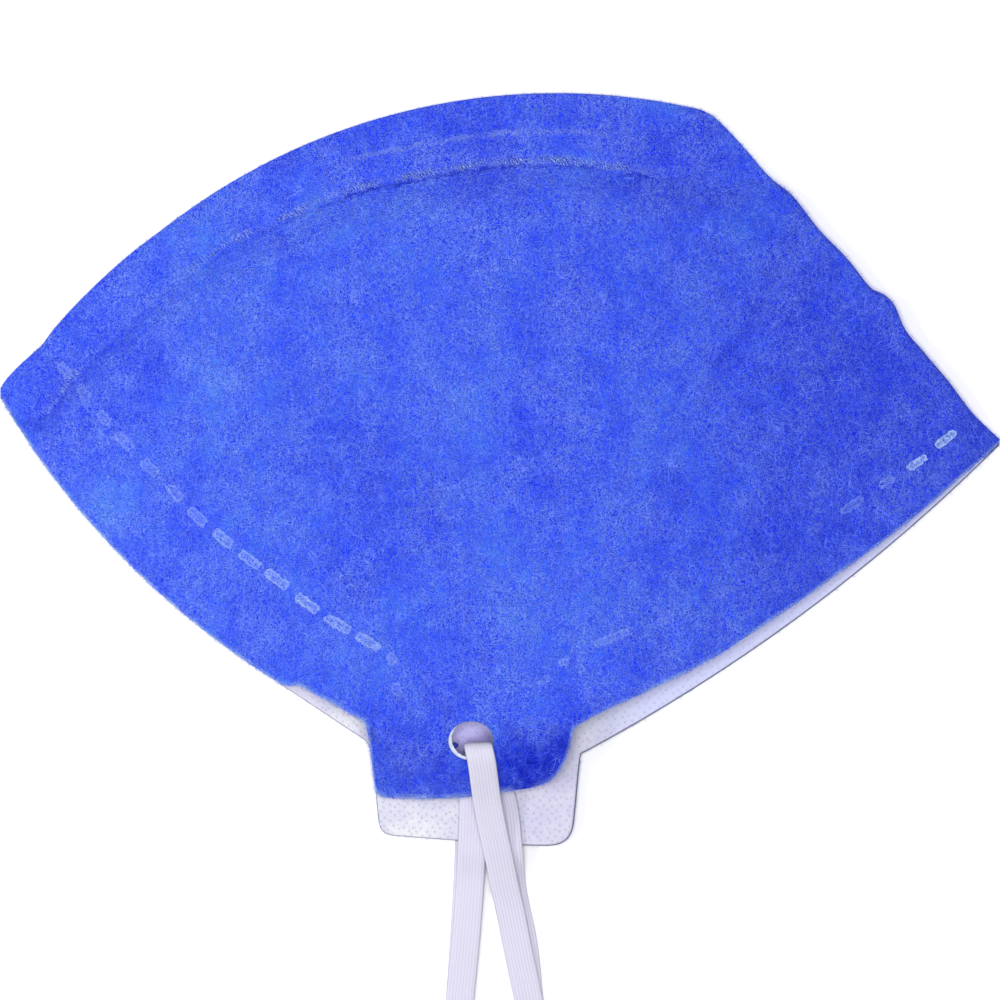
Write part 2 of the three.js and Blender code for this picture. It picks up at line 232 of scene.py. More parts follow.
# underside of the near half: the floor, the far half's wall and the gap
def ceilingAt(x, y):
    return floorAt(x, y) + maskSet["wall"] + gapAt(x, y)


# For points near a line: how far along it they lie, how far to its left, and the line's length. Each
# point is dropped square onto the nearest stretch.
def alongLine(line, x, y):
    side = np.diff(line, axis=0)
    size = np.linalg.norm(side, axis=1)
    travelled = np.concatenate([[0], np.cumsum(size)])
    nearest, along, across = np.full(x.shape, np.inf), np.zeros(x.shape), np.zeros(x.shape)
    for (ax, ay), (dx, dy), run, before in zip(line[:-1], side, size, travelled):
        t = np.clip(((x - ax) * dx + (y - ay) * dy) / run**2, 0, 1)
        ox, oy = x - ax - t * dx, y - ay - t * dy
        away = np.hypot(ox, oy)
        closer = away < nearest
        nearest = np.where(closer, away, nearest)
        along = np.where(closer, before + t * run, along)
        across = np.where(closer, np.where(dx * oy - dy * ox > 0, away, -away), across)
    return along, across, travelled[-1]


# Pressed weld spots that hold the lining to the felt, in a row along each stretch of the open edge:
# middle, length, and how clearly the spot is pressed.
spotSet = {"widths": (1.9, 1.45), "round": 0.45, "depth": 0.3}
spotRows = [
    [(-84.8, 25.3, 3.6, 0.45), (-81.0, 21.0, 3.6, 0.35), (-77.0, 15.9, 3.0, 0.33),
     (-73.0, 11.4, 4.4, 0.36), (-68.0, 6.3, 3.9, 0.4), (-63.1, 1.4, 3.7, 0.4), (-58.8, -3.2, 4.4, 0.58),
     (-53.7, -7.5, 4.4, 0.62), (-48.5, -11.6, 4.8, 0.68), (-43.2, -15.4, 5.3, 0.76),
     (-37.4, -20.0, 5.1, 0.94), (-31.4, -24.0, 5.4, 0.74), (-25.5, -27.5, 5.2, 0.75),
     (-20.9, -30.7, 2.4, 0.46), (-20.0, -36.6, 2.6, 0.3)],
    [(86.6, 11.8, 4.8, 1.5), (81.0, 7.2, 4.4, 1.4), (75.0, 3.5, 3.2, 0.4), (68.3, -1.0, 5.0, 0.35),
     (61.0, -5.6, 3.4, 0.15), (52.0, -11.9, 4.4, 0.12), (43.0, -18.0, 4.4, 0.15), (30.6, -23.8, 4.0, 0.2),
     (21.7, -26.7, 7.5, 0.35), (12.5, -31.2, 2.6, 0.4), (8.6, -34.8, 2.4, 0.25)],
]


# Distance outside the nearest weld spot, below 0 inside it, and how clearly that one is pressed. A
# spot is a rectangle with round corners that points at its neighbours.
def spotAt(x, y):
    outside, pressed = np.full(x.shape, 9.0), np.zeros(x.shape)  # 9 mm: clear of every spot
    for row, width in zip(spotRows, spotSet["widths"]):
        table = np.array(row)
        headings = np.arctan2(np.gradient(table[:, 1]), np.gradient(table[:, 0]))
        for (sx, sy, length, strength), turn in zip(table, headings):
            along = abs((x - sx) * np.cos(turn) + (y - sy) * np.sin(turn))
            across = abs((y - sy) * np.cos(turn) - (x - sx) * np.sin(turn))
            dx = np.maximum(along - length / 2 + spotSet["round"], 0)
            dy = np.maximum(across - width / 2 + spotSet["round"], 0)
            away = np.hypot(dx, dy) - spotSet["round"]
            pressed = np.where(away < outside, strength, pressed)
            outside = np.minimum(away, outside)
    return outside, pressed


# folds and rolls in the near half: a line, its height in the middle and its half width
creaseSet = [
    ([(59.3, 51.5), (54.2, 44.1), (50.5, 37.8), (45.4, 30.4), (41.7, 22.8), (38.6, 15.4)], -1.1, 2.0),
    ([(63.5, 50.0), (58.4, 43.0), (54.4, 36.0), (49.5, 28.5)], 0.7, 2.2),
    ([(76.6, 34.1), (69.2, 27.9), (60.5, 24.2), (51.7, 17.9)], -1.2, 2.0),
    ([(74.5, 38.0), (66.5, 32.5), (58.0, 28.6), (49.0, 23.0)], 0.7, 2.4),
    ([(50.5, 58.3), (47.5, 54.5), (44.9, 50.9)], -0.7, 1.4),
    ([(75.3, 22.8), (71.5, 20.0), (67.9, 17.9)], 0.5, 1.5),
    ([(50.5, 2.9), (47.5, -0.8), (45.4, -4.5)], 0.5, 1.5),
    ([(60.5, -5.9), (51.7, -12.1), (42.9, -18.1), (30.6, -23.8)], -0.5, 1.3),
    ([(26.0, -25.8), (19.5, -27.0), (14.5, -29.5)], 0.4, 0.9),
    ([(88.0, 12.5), (80.0, 14.5), (70.0, 10.0)], -0.5, 3.0),
    ([(78.0, 30.5), (80.5, 24.5), (79.0, 18.0)], 0.7, 3.0),
    ([(-90.5, 12.5), (-86.0, 20.5), (-81.5, 25.5)], -0.4, 1.0),
    ([(-92.0, 23.0), (-86.0, 22.2), (-83.5, 20.0)], 0.3, 0.9),
    ([(5.0, -28.0), (20.0, -10.0), (30.0, 10.0)], 0.5, 9.0),
    ([(-50.0, 20.0), (-20.0, 5.0), (0.0, 0.0)], -0.45, 9.0),
]
nearHole = {"centre": (-5.6, -46.6), "radii": (4.4, 3.8)}
farHole = {"centre": (-4.4, -52.5), "radii": (4.2, 4.0)}


# how far a point lies from a hole's centre, where 1 is the hole's edge
def ringAt(x, y, hole):
    return np.hypot((x - hole["centre"][0]) / hole["radii"][0], (y - hole["centre"][1]) / hole["radii"][1])


# folds and rolls added up: each is a bell curve across its line that dies out at both ends
def creaseAt(x, y):
    total = np.zeros(x.shape)
    for line, rise, spread in creaseSet:
        along, across, length = alongLine(evenLine(line, 12), x, y)
        ends = ease(along, -0.01, 0.3 * length) * (1 - ease(along, 0.65 * length, length * 1.01))
        total += 0.65 * rise * np.exp(-((across / spread) ** 2)) * ends
    return total


# distance above a line that is a function of x, measured square to it
def aboveLine(line, x, y, step=0.5):
    return (y - line(x)) / np.hypot(1, (line(x + step) - line(x - step)) / (2 * step))


# how clearly the weld shows along its length: worn at the left, and gone where the fold begins
def weldShown(x):
    worn = 0.3 + 0.7 * ease(x, -72, -36)
    return ease(x, -92, -84) * np.maximum(worn, 1 - ease(x, -84, -74)) * (1 - ease(x, 28, 44))


# the same for the second faint line above its middle
def secondShown(x):
    return ease(x, -34, -22) * (1 - ease(x, 12, 24))


reliefSet = {
    "lumps": [(0.1, 24, 11, 7), (0.06, 8, 12, 7), (0.04, 3.6, 13, 11)],  # height, size, seed, waves
    "weld": [(0.3, -0.1), (-0.35, -1.1)],    # height of the ridge or groove, middle above the weld line
    "second": [(0.25, 5.4), (-0.2, 4.4)],
    "weldHalf": 0.5,                         # half width of each
    "rim": -0.2, "rimHalf": 0.15,
}


# The weld is a broken ridge with a groove below it, and a second faint pair runs above its middle:
# each is a bell curve across the weld.
def weldRelief(x, y):
    above = aboveLine(weldAt, x, y) + 0.2 * waves(x, y, 2.8, 5)
    worn = 0.6 + 0.4 * waves(x, y, 11, 3) + 0.3 * waves(x, y, 2.2, 4)
    line, second = (sum(high * np.exp(-(((above - middle) / reliefSet["weldHalf"]) ** 2))
                        for high, middle in reliefSet[name]) for name in ("weld", "second"))
    return worn * (weldShown(x) * line + secondShown(x) * second)


# Lumps of the web and folds, calm beside the edges and the hole, with the weld, the pressed spots and
# the pressed rim of the hole added.
def reliefAt(x, y):
    calm = ease(upperEdge(x) - y, 0, 4) * ease(y - nearEdge(x), -1, 3)
    outside, pressed = spotAt(x, y)
    spots = -spotSet["depth"] * pressed * (1 - ease(outside, -0.35, 0.35))
    ring = ringAt(x, y, nearHole)
    lumps = sum(high * waves(x, y, size, seed, count) for high, size, seed, count in reliefSet["lumps"])
    away = ease(ring, 1.0, 2.2)
    rim = reliefSet["rim"] * np.exp(-((ring - 1) / reliefSet["rimHalf"]) ** 2)
    return (lumps + creaseAt(x, y)) * calm * away + weldRelief(x, y) + spots + rim


# top of the near half: its ceiling and wall, or past the weld both walls pressed together
def topAt(x, y):
    inside = ease(weldAt(x) - y, -0.9, 0.5)
    atFold = ceilingAt(x, weldAt(x)) + maskSet["wall"]
    flange = (maskSet["wall"] * 2 + 0.1) * (1 - alongFold(x)) + atFold * alongFold(x)
    return (ceilingAt(x, y) + maskSet["wall"]) * inside + flange * (1 - inside) + reliefAt(x, y)


tabSides = [(-24.8, 1.7), (14.5, 1.9)]  # middle and half width, in x, of each steep side of the tab


# Columns from tip to tip, closer together at the tips and at the tab's sides. Their density is added
# up along x, and equal shares of the total give the places.
def columnsAcross(spacing, fine, reach):
    steps = np.linspace(-reach, reach, 6000)
    steep = np.max([np.exp(-((steps - middle) / half) ** 4) for middle, half in tabSides], 0)
    tips = np.exp(-((abs(steps) - reach) / 1.2) ** 2)
    density = 1 / spacing + np.maximum(steep, tips) * (1 / fine - 1 / spacing)
    total = np.concatenate([[0], np.cumsum((density[1:] + density[:-1]) / 2 * np.diff(steps))])
    return np.interp(np.linspace(0, total[-1], int(total[-1]) + 1), total, steps)


# direction into the sheet from its open edge, in plan: square to the edge's own heading
def inward(x, y):
    dx, dy = np.gradient(x), np.gradient(y)
    size = np.hypot(dx, dy)
    return -dy / size, dx / size


# Points of one side of a sheet from its cut edge up to a line: the first few follow the rounded cut,
# the rest are spaced evenly, or partly bunched towards both ends by a cosine. Gives x and y as columns
# by rows.
def rowsFrom(x, edge, top, roundings, count, bunched=0.0):
    nx, ny = inward(x, edge)
    steps = np.array(roundings)
    startX, startY = x[:, None] + nx[:, None] * steps, edge[:, None] + ny[:, None] * steps
    share = np.linspace(0, 1, count + 1)[1:]
    share = (1 - bunched) * share + bunched * (1 - np.cos(np.pi * share)) / 2
    restX = x[:, None] + (startX[:, -1:] - x[:, None]) * (1 - share) ** 8
    restY = startY[:, -1:] + (top[:, None] - startY[:, -1:]) * share
    return np.concatenate([startX, restX], 1), np.concatenate([startY, restY], 1)


# rows evenly spaced from one line to another, without the first line
def between(x, low, high, count):
    share = np.linspace(0, 1, count + 1)[1:]
    return np.repeat(x[:, None], count, 1), low[:, None] + (high - low)[:, None] * share


# Closes an outer and an inner grid of points, each columns by rows, into one wall: lips along both
# open edges and caps at both tips. Gives the corners of four-sided and three-sided faces.
def wallFaces(columns, outerRows, innerRows):
    outer = np.arange(columns * outerRows).reshape(columns, outerRows)
    inner = outer.size + np.arange(columns * innerRows).reshape(columns, innerRows)
    quads = [
        (outer[:-1, :-1], outer[1:, :-1], outer[1:, 1:], outer[:-1, 1:]),
        (inner[:-1, :-1], inner[:-1, 1:], inner[1:, 1:], inner[1:, :-1]),
        (outer[:-1, 0], inner[:-1, 0], inner[1:, 0], outer[1:, 0]),
        (outer[:-1, -1], outer[1:, -1], inner[1:, -1], inner[:-1, -1])]
    quads = np.concatenate([np.stack([corner.ravel() for corner in quad], 1) for quad in quads])
    # a cap is a zigzag between the longer row of points and the shorter
    more, fewer = (outer, inner) if outerRows > innerRows else (inner, outer)
    partner = np.round(np.linspace(0, fewer.shape[1] - 1, more.shape[1])).astype(int)
    jump = np.flatnonzero(np.diff(partner))
    caps = []
    for column in (0, columns - 1):
        a, b = more[column], fewer[column]
        cap = np.concatenate([np.stack([a[:-1], a[1:], b[partner[:-1]]], 1),
                              np.stack([a[jump + 1], b[partner[jump] + 1], b[partner[jump]]], 1)])
        caps.append(cap if (column == 0) == (more is outer) else cap[:, ::-1])
    return quads, np.concatenate(caps)


# joins a wall's upper side, its turn and its lower side, which runs back, into one grid
def joined(upper, turn, lower):
    return [np.concatenate([a, b, c[:, ::-1]], 1) for a, b, c in zip(upper, turn, lower)]


# puts points, in mm from home, and their faces into the mesh of a new piece
def meshPiece(name, points, quads, triangles=np.zeros((0, 3), int)):
    corners = np.concatenate([quads.ravel(), triangles.ravel()])
    sizes = np.concatenate([np.full(len(quads), 4), np.full(len(triangles), 3)])
    mesh = bpy.data.meshes.new(name)
    mesh.vertices.add(len(points))
    mesh.vertices.foreach_set("co", ((points + home) * mm).ravel())
    mesh.loops.add(len(corners))
    mesh.loops.foreach_set("vertex_index", corners)
    mesh.polygons.add(len(sizes))
    mesh.polygons.foreach_set("loop_start", np.cumsum(sizes) - sizes)
    mesh.polygons.foreach_set("use_smooth", np.ones(len(sizes), bool))
    mesh.update(calc_edges=True)
    mesh.validate()
    piece = bpy.data.objects.new(name, mesh)
    bpy.context.scene.collection.objects.link(piece)
    return piece


# a closed wall from its outer and inner grids, each an x, y and z of columns by rows
def wallPiece(name, outer, inner):
    points = np.concatenate([np.stack([grid.ravel() for grid in side], 1) for side in (outer, inner)])
    return meshPiece(name, points, *wallFaces(len(outer[0]), outer[0].shape[1], inner[0].shape[1]))


# a piece's points, in mm from home
def pointsOf(piece):
    places = np.empty(len(piece.data.vertices) * 3)
    piece.data.vertices.foreach_get("co", places)
    return places.reshape(-1, 3) / mm - home


# a number for each point, which the piece's material reads
def giveNumbers(piece, name, values):
    layer = piece.data.attributes.new(name, "FLOAT", "POINT")
    layer.data.foreach_set("value", values.astype(np.float32))


# punches an oval hole straight through a piece, from one height to another
def punchHole(piece, hole, low, high, sides=96):
    turn = np.linspace(0, 2 * np.pi, sides, endpoint=False)
    ring = np.array(hole["centre"]) + np.array(hole["radii"]) * np.stack([np.cos(turn), np.sin(turn)], 1)
    points = np.concatenate([np.insert(ring, 2, z, 1) for z in (low, high)])
    k = np.arange(sides)
    walls = np.stack([k, (k + 1) % sides, (k + 1) % sides + sides, k + sides], 1)
    fan = np.stack([np.zeros(sides - 2, int), k[2:], k[1:-1]], 1)
    cutter = meshPiece("cutter", points, walls, np.concatenate([fan, fan[:, ::-1] + sides]))
    cut = piece.modifiers.new("hole", "BOOLEAN")
    cut.operation, cut.solver, cut.object = "DIFFERENCE", "MANIFOLD", cutter
    bpy.context.view_layer.objects.active = piece
    bpy.ops.object.modifier_apply(modifier=cut.name)
    piece.data.materials.clear()  # the cut leaves an empty slot
    bpy.data.objects.remove(cutter)


# sRGB hex to linear: a straight foot, then the power 2.4
def linear(code):
    parts = np.array([int(code[k:k + 2], 16) for k in (1, 3, 5)]) / 255
    return (*np.where(parts <= 0.04045, parts / 12.92, ((parts + 0.055) / 1.055) ** 2.4), 1.0)


# Starts a material and gives the function that adds its nodes. That one gives one of the node's outputs:
# inputs are named or counted sockets, each a value or another node's output, and settings are the
# node's own properties. What is the same all over a piece is set on its shader's own sockets.
def newMaterial(name):
    material = bpy.data.materials.new(name)
    material.use_nodes = True
    tree = material.node_tree
    tree.nodes.clear()

    def add(kind, inputs=None, out=0, **settings):
        node = tree.nodes.new("ShaderNode" + kind)
        for key, value in settings.items():
            setattr(node, key, value)
        for key, value in (inputs or {}).items():
            if isinstance(value, bpy.types.NodeSocket):
                tree.links.new(value, node.inputs[key])
            else:
                node.inputs[key].default_value = value
        return node if out is None else node.outputs[out]
    return material, add


# Needled polypropylene felt, dyed blue in the fibre: fully matt, cloudy where the web is thick or thin,
# with curly fibres on top painted pale as a highlight, and painted shade in small dark gaps between them.
# Fibres are 0.03 mm thick in the real felt and drawn a little thicker, so that they show.
feltSet = {
    # fibre tone: painted highlight on the fibres; gap tone: painted shade between them; groove tone: painted
    # shade
    "deep": "#0F32F0", "middle": "#234DFF", "pale": "#3A71FF", "thin": "#4E98FF", "fibre": "#86A6FF",
    "gap": "#0610D4", "fusedAndHighlight": "#B4D0FF", "groove": "#0A1EC0", "cutEdgeTone": "#8A899E", "sheen": "#6F8CFF",
    # sizes in mm of what makes it uneven, and of a stroke of the weld
    "cloud": 16.0, "patch": 3.2, "grain": 0.28, "speck": 0.17, "calm": 9.0, "ragged": 0.8, "stroke": 0.56,
    "curls": [(0.85, 0.3, 0.0), (0.7, 1.4, 0.5), (1.1, 2.4, 0.9), (2.6, 0.9, 1.4)],  # size, turn, shift
    "weld": [("ticks", -0.2, 1.0), ("groove", -1.2, 0.65), ("second", 5.4, 0.7)],  # middle, half width
    "fibreHeight": 0.3, "glint": 0.72, "grooveShade": 0.7, "spotRim": 0.42, "spotInside": 0.55,
    "raggedSpot": 1.2, "raggedWeld": 2.4, "raggedStroke": 1.7,  # mm within which an outline wanders
    "tabShade": (0.3, 0.65),  # painted shade on the tab, and how much more at its right
    "rightShade": 0.27,       # painted shade towards the right tip
}


def makeFelt():
    felt = feltSet
    material, add = newMaterial("blueNeedledFelt")
    place = add("TexCoord", out="Object")
    drawn = add("Mapping", {"Vector": place, "Rotation": (0, 0, 0.2), "Scale": (1.0, 0.62, 1.0)})
    cloud, patch, grain, speck, calm, ragged = (
        add("TexNoise", {"Vector": vector, "Scale": 1000 / felt[name], "Detail": detail, "Roughness": rough})
        for name, vector, detail, rough in (
            ("cloud", drawn, 3.0, 0.5), ("patch", drawn, 5.0, 0.7), ("grain", place, 2.0, 0.5),
            ("speck", place, 2.0, 0.5), ("calm", place, 2.0, 0.5), ("ragged", place, 3.0, 0.5)))
    # each noise is read from its first value to its second, as the third to the fourth
    calm, broken, gaps, dots, glints, inside, worn, uneven = (
        add("MapRange", {"Value": value, "From Min": start, "From Max": full, "To Min": low, "To Max": high})
        for value, start, full, low, high in (
            (calm, 0.38, 0.6, 0.6, 1.0), (grain, 0.36, 0.56, 0.0, 1.0), (grain, 0.45, 0.3, 0.0, 1.0),
            (speck, 0.49, 0.41, 0.0, 1.0), (speck, 0.54, 0.62, 0.0, 1.0),
            (speck, 0.38, 0.6, 0.0, felt["spotInside"]), (speck, 0.38, 0.52, 0.0, 1.0),
            (patch, 0.4, 0.6, 1.0, 0.45)))
    number = {name: add("Attribute", out="Fac", attribute_name=name) for name in (
        "webAndPaintedShade", "spotOutside", "spotPressed", "weldAbove", "weldAlong", "ticksShown", "grooveShown",
        "secondShown", "frayedHighlight", "shaded", "farCutEdgeTone")}
    mixed = -0.11
    # the web number carries the web's density and, on the tab, the right half and the blunt tip, painted
    # shade
    for part, amount in ((cloud, 0.62), (patch, 0.6), (number["webAndPaintedShade"], 0.16)):
        mixed = add("Math", {0: part, 1: amount, 2: mixed}, operation="MULTIPLY_ADD")
    colour = linear(felt["deep"])
    for tone, low, high in (("middle", 0.35, 0.5), ("pale", 0.5, 0.67), ("thin", 0.64, 0.86)):
        part = add("MapRange", {"Value": mixed, "From Min": low, "From Max": high})
        colour = add("Mix", {0: part, 6: colour, 7: linear(felt[tone])}, out=2, data_type="RGBA")

    # curly fibres: thin lines along which a smooth noise has its middle value, broken up by another
    fibres = None
    for curl, turn, seed in felt["curls"]:
        turned = add("Mapping", {"Vector": place, "Rotation": (0, 0, turn), "Location": (seed, 0, 0),
                                 "Scale": (1, 0.6, 1)})
        flow = add("TexNoise", {"Vector": turned, "Scale": 1000 / curl, "Detail": 1.5})
        level = add("Math", {0: flow, 1: 0.5}, operation="SUBTRACT")
        level = add("Math", {0: level}, operation="ABSOLUTE")
        line = add("MapRange", {"Value": level, "From Max": 0.06, "To Min": 1.0, "To Max": 0.0})
        fibres = line if fibres is None else add("Math", {0: fibres, 1: line}, operation="MAXIMUM")
    fibres = add("Math", {0: fibres, 1: broken}, operation="MULTIPLY")
    # painted shade darkens the gaps between fibres, and painted highlight makes the fibres and glints pale
    for part, finer, amount, tone in ((gaps, dots, 1.0, "gap"), (fibres, glints, felt["glint"], "fibre")):
        shown = add("Math", {0: part, 1: finer}, operation="MAXIMUM")
        shown = add("Math", {0: shown, 1: calm}, operation="MULTIPLY")
        shown = add("Math", {0: shown, 1: amount}, operation="MULTIPLY")
        colour = add("Mix", {0: shown, 6: colour, 7: linear(felt[tone])}, out=2, data_type="RGBA")

    # weld spots are fused, so they are paler and smoother, most of all round their rims
    ragged = add("Math", {0: ragged, 1: 0.5}, operation="SUBTRACT")
    outside, above, slanted = (
        add("Math", {0: ragged, 1: felt[amount], 2: number[name]}, operation="MULTIPLY_ADD")
        for amount, name in (("raggedSpot", "spotOutside"), ("raggedWeld", "weldAbove"),
                             ("raggedStroke", "weldAlong")))
    spot = add("MapRange", {"Value": outside, "From Min": 0.12, "From Max": -0.12})
    rim = add("Math", {0: outside, 1: -0.12}, operation="SUBTRACT")
    rim = add("Math", {0: rim}, operation="ABSOLUTE")
    rim = add("MapRange", {"Value": rim, "From Min": 0.24, "From Max": 0.08})
    spot = add("Math", {0: spot, 1: inside}, operation="MULTIPLY")
    spot = add("Math", {0: rim, 1: felt["spotRim"], 2: spot}, operation="MULTIPLY_ADD")
    spot = add("Math", {0: spot, 1: number["spotPressed"]}, operation="MULTIPLY", use_clamp=True)

    # the weld is made of short slanted strokes, pale as fused felt with painted highlight on its ridge,
    # with a dark groove below them that is painted shade
    stroke = add("Math", {0: slanted, 1: 2 * np.pi / felt["stroke"]}, operation="MULTIPLY")
    stroke = add("Math", {0: stroke}, operation="SINE")
    gap = add("MapRange", {"Value": stroke, "From Min": 0.2, "From Max": -0.6})
    stroke = add("MapRange", {"Value": stroke, "From Min": -0.3, "From Max": 0.5})
    lines = {}
    for name, middle, half in felt["weld"]:
        away = add("Math", {0: above, 1: middle}, operation="SUBTRACT")
        away = add("Math", {0: away}, operation="ABSOLUTE")
        line = add("MapRange", {"Value": away, "From Min": half, "From Max": 0.3 * half})
        lines[name] = add("Math", {0: line, 1: number[name + "Shown"]}, operation="MULTIPLY")
    # pale: fused weld spots, and painted highlight on the weld's strokes, the second faint ridge and the
    # frayed edge
    pale = add("Math", {0: lines["ticks"], 1: stroke}, operation="MULTIPLY")
    pale = add("Math", {0: lines["second"], 1: pale}, operation="MAXIMUM")
    pale = add("Math", {0: number["frayedHighlight"], 1: pale}, operation="MAXIMUM")
    pale = add("Math", {0: pale, 1: worn}, operation="MULTIPLY")
    pale = add("Math", {0: pale, 1: spot}, operation="MAXIMUM")
    # deep: painted shade in the weld's groove and between its strokes
    deep = add("Math", {0: lines["ticks"], 1: gap}, operation="MULTIPLY")
    deep = add("Math", {0: lines["groove"], 1: deep}, operation="MAXIMUM")
    deep = add("Math", {0: deep, 1: felt["grooveShade"]}, operation="MULTIPLY")
    shaded = add("Math", {0: number["shaded"], 1: uneven}, operation="MULTIPLY")
    shaded = add("Math", {0: shaded, 1: deep}, operation="MAXIMUM")
    for part, tone in ((shaded, "groove"), (pale, "fusedAndHighlight"), (number["farCutEdgeTone"], "cutEdgeTone")):
        colour = add("Mix", {0: part, 6: colour, 7: linear(felt[tone])}, out=2, data_type="RGBA")

    height = add("Math", {0: grain, 1: 0.5}, operation="MULTIPLY")
    for part, amount in ((fibres, 0.8), (speck, 0.4), (spot, -0.8), (pale, 0.6)):
        height = add("Math", {0: part, 1: amount, 2: height}, operation="MULTIPLY_ADD")
    bumps = add("Bump", {"Height": height, "Distance": felt["fibreHeight"] * mm, "Strength": 0.9})
    surface = add("BsdfPrincipled", {
        "Base Color": colour, "Normal": bumps, "Roughness": 0.92, "Specular IOR Level": 0.06,
        "Sheen Weight": 0.03, "Sheen Roughness": 0.5, "Sheen Tint": linear(felt["sheen"])})
    add("OutputMaterial", {"Surface": surface}, out=None)
    return material


felt = makeFelt()

roundings = [0.0, 0.1, 0.32]          # steps into the sheet over a cut edge's rounding
lipDrop = np.array([0.3, 0.08, 0.0])  # how much of the wall's thickness is missing at each step
coverSet = {
    "spacing": 0.65, "fine": 0.24,
    "nearRows": 150, "weldRows": 15, "flangeRows": 18, "edgeRows": 9, "backRows": 24,
    "insideRows": (40, 26),
    "weldBand": (2.4, 1.6),  # rows lie closer from this far below the weld to this far above it
    "foldOut": 1.9,      # how far the fold bulges beyond the inside of the fold
    "cutOut": 0.35,      # how far the fibres of the cut arc bulge
    "flat": (0.144, 0.28), "area": 0.033,
}


# The cover is one wall. Its outside runs from the near half's lip up over the weld to the outer edge,
# round it and back along the under side to the far half's lip; its inside runs round the pocket.
def coverWall():
    x = columnsAcross(coverSet["spacing"], coverSet["fine"], maskSet["tipX"])
    near, far, top, weld = nearEdge(x), farEdge(x), upperEdge(x), weldAt(x)
    small = np.minimum(1, (top - near) / 4)
    edge = coverSet["cutOut"] + (coverSet["foldOut"] - coverSet["cutOut"]) * alongFold(x)
    edge = np.minimum(edge, 1.6 * small)
    brow = top - edge * small
    below = np.clip(weld - coverSet["weldBand"][0], near + 0.2 * small, brow - 0.6 * small)
    above = np.clip(weld + coverSet["weldBand"][1], below + 0.2 * small, brow - 0.2 * small)
    nearX, nearY = rowsFrom(x, near, below, roundings, coverSet["nearRows"])
    parts = [(nearX, nearY), between(x, below, above, coverSet["weldRows"]),
             between(x, above, brow, coverSet["flangeRows"])]
    outX, outY = (np.concatenate([part[axis] for part in parts], 1) for axis in (0, 1))
    outZ = topAt(outX, outY)
    outZ[:, :3] -= lipDrop * maskSet["wall"]

    turn = np.linspace(0, np.pi, coverSet["edgeRows"] + 2)[1:-1]
    thick = outZ[:, -1:] / 2
    notch = 1 - 0.4 * (1 - alongFold(x))[:, None] * np.exp(-((turn - np.pi / 2) / 0.3) ** 2)
    edgeX = np.repeat(x[:, None], len(turn), 1)
    edgeY = brow[:, None] + (edge * small)[:, None] * np.sin(turn) ** 0.7 * notch
    edgeZ = thick + thick * np.cos(turn)

    backX, backY = rowsFrom(x, far, brow, roundings, coverSet["backRows"])
    backZ = floorAt(backX, backY) + 0.05 * (1 + waves(backX, backY, 9, 21)).clip(0)
    backZ[:, :3] += lipDrop * maskSet["wall"]
    outer = joined((outX, outY, outZ), (edgeX, edgeY, edgeZ), (backX, backY, backZ))

    pocket = np.clip(weld - 0.5, near + 0.3 * small, brow - 0.5 * small)
    inX, inY = rowsFrom(x, near, pocket, roundings, coverSet["insideRows"][0], 0.75)
    inZ = ceilingAt(inX, inY)
    inZ[:, :3] += lipDrop * maskSet["wall"]
    turn = np.linspace(0, np.pi, 5)[1:-1]
    low = floorAt(x, pocket) + maskSet["wall"]
    half = (inZ[:, -1] - low) / 2
    endX = np.repeat(x[:, None], 3, 1)
    endY = pocket[:, None] + (0.1 + 0.5 * alongFold(x) * small)[:, None] * np.sin(turn)
    endZ = (low + half)[:, None] + half[:, None] * np.cos(turn)
    lowX, lowY = rowsFrom(x, far, pocket, roundings, coverSet["insideRows"][1], 0.5)
    lowZ = floorAt(lowX, lowY) + maskSet["wall"]
    lowZ[:, :3] -= lipDrop * maskSet["wall"]
    inner = joined((inX, inY, inZ), (endX, endY, endZ), (lowX, lowY, lowZ))
    return wallPiece("coverSheet", outer, inner)


# places where the felt is paler (above 0) or darker as painted shade (below 0): middle, half width, amount
webSet = [
    (-75.0, -2.5, 5.0, 1.0), (-73.0, 3.0, 9.0, 0.5), (-84.0, 1.0, 7.0, 0.6), (-41.0, 60.0, 6.0, 0.4),
    (-75.0, 39.0, 5.0, 0.4), (-36.0, 50.0, 12.0, 0.2), (-18.0, 54.0, 7.0, 0.45), (-50.0, 25.0, 14.0, 0.45),
    (-24.0, -29.0, 10.0, 0.6), (-29.0, -35.0, 6.0, 0.4), (30.0, -21.0, 9.0, 0.6), (48.0, -20.0, 8.0, 0.5),
    (33.0, 68.0, 11.0, -0.8), (84.0, 12.0, 10.0, -0.7), (12.0, -48.0, 6.0, -1.0), (6.0, -54.0, 6.0, -0.5),
    (-88.0, 22.0, 7.0, -0.6), (80.0, 24.0, 9.0, -0.9), (63.0, 40.0, 12.0, -0.7), (66.0, 12.0, 26.0, -0.95),
    (60.0, -14.0, 8.0, -0.3), (-38.0, 63.0, 5.0, 0.2), (34.0, 77.5, 4.0, 1.8), (27.0, 78.5, 4.0, 1.2),
    (-22.5, -56.5, 3.0, 1.0), (-15.0, -57.8, 2.5, 0.7), (-1.0, -44.4, 1.6, 1.0),
]
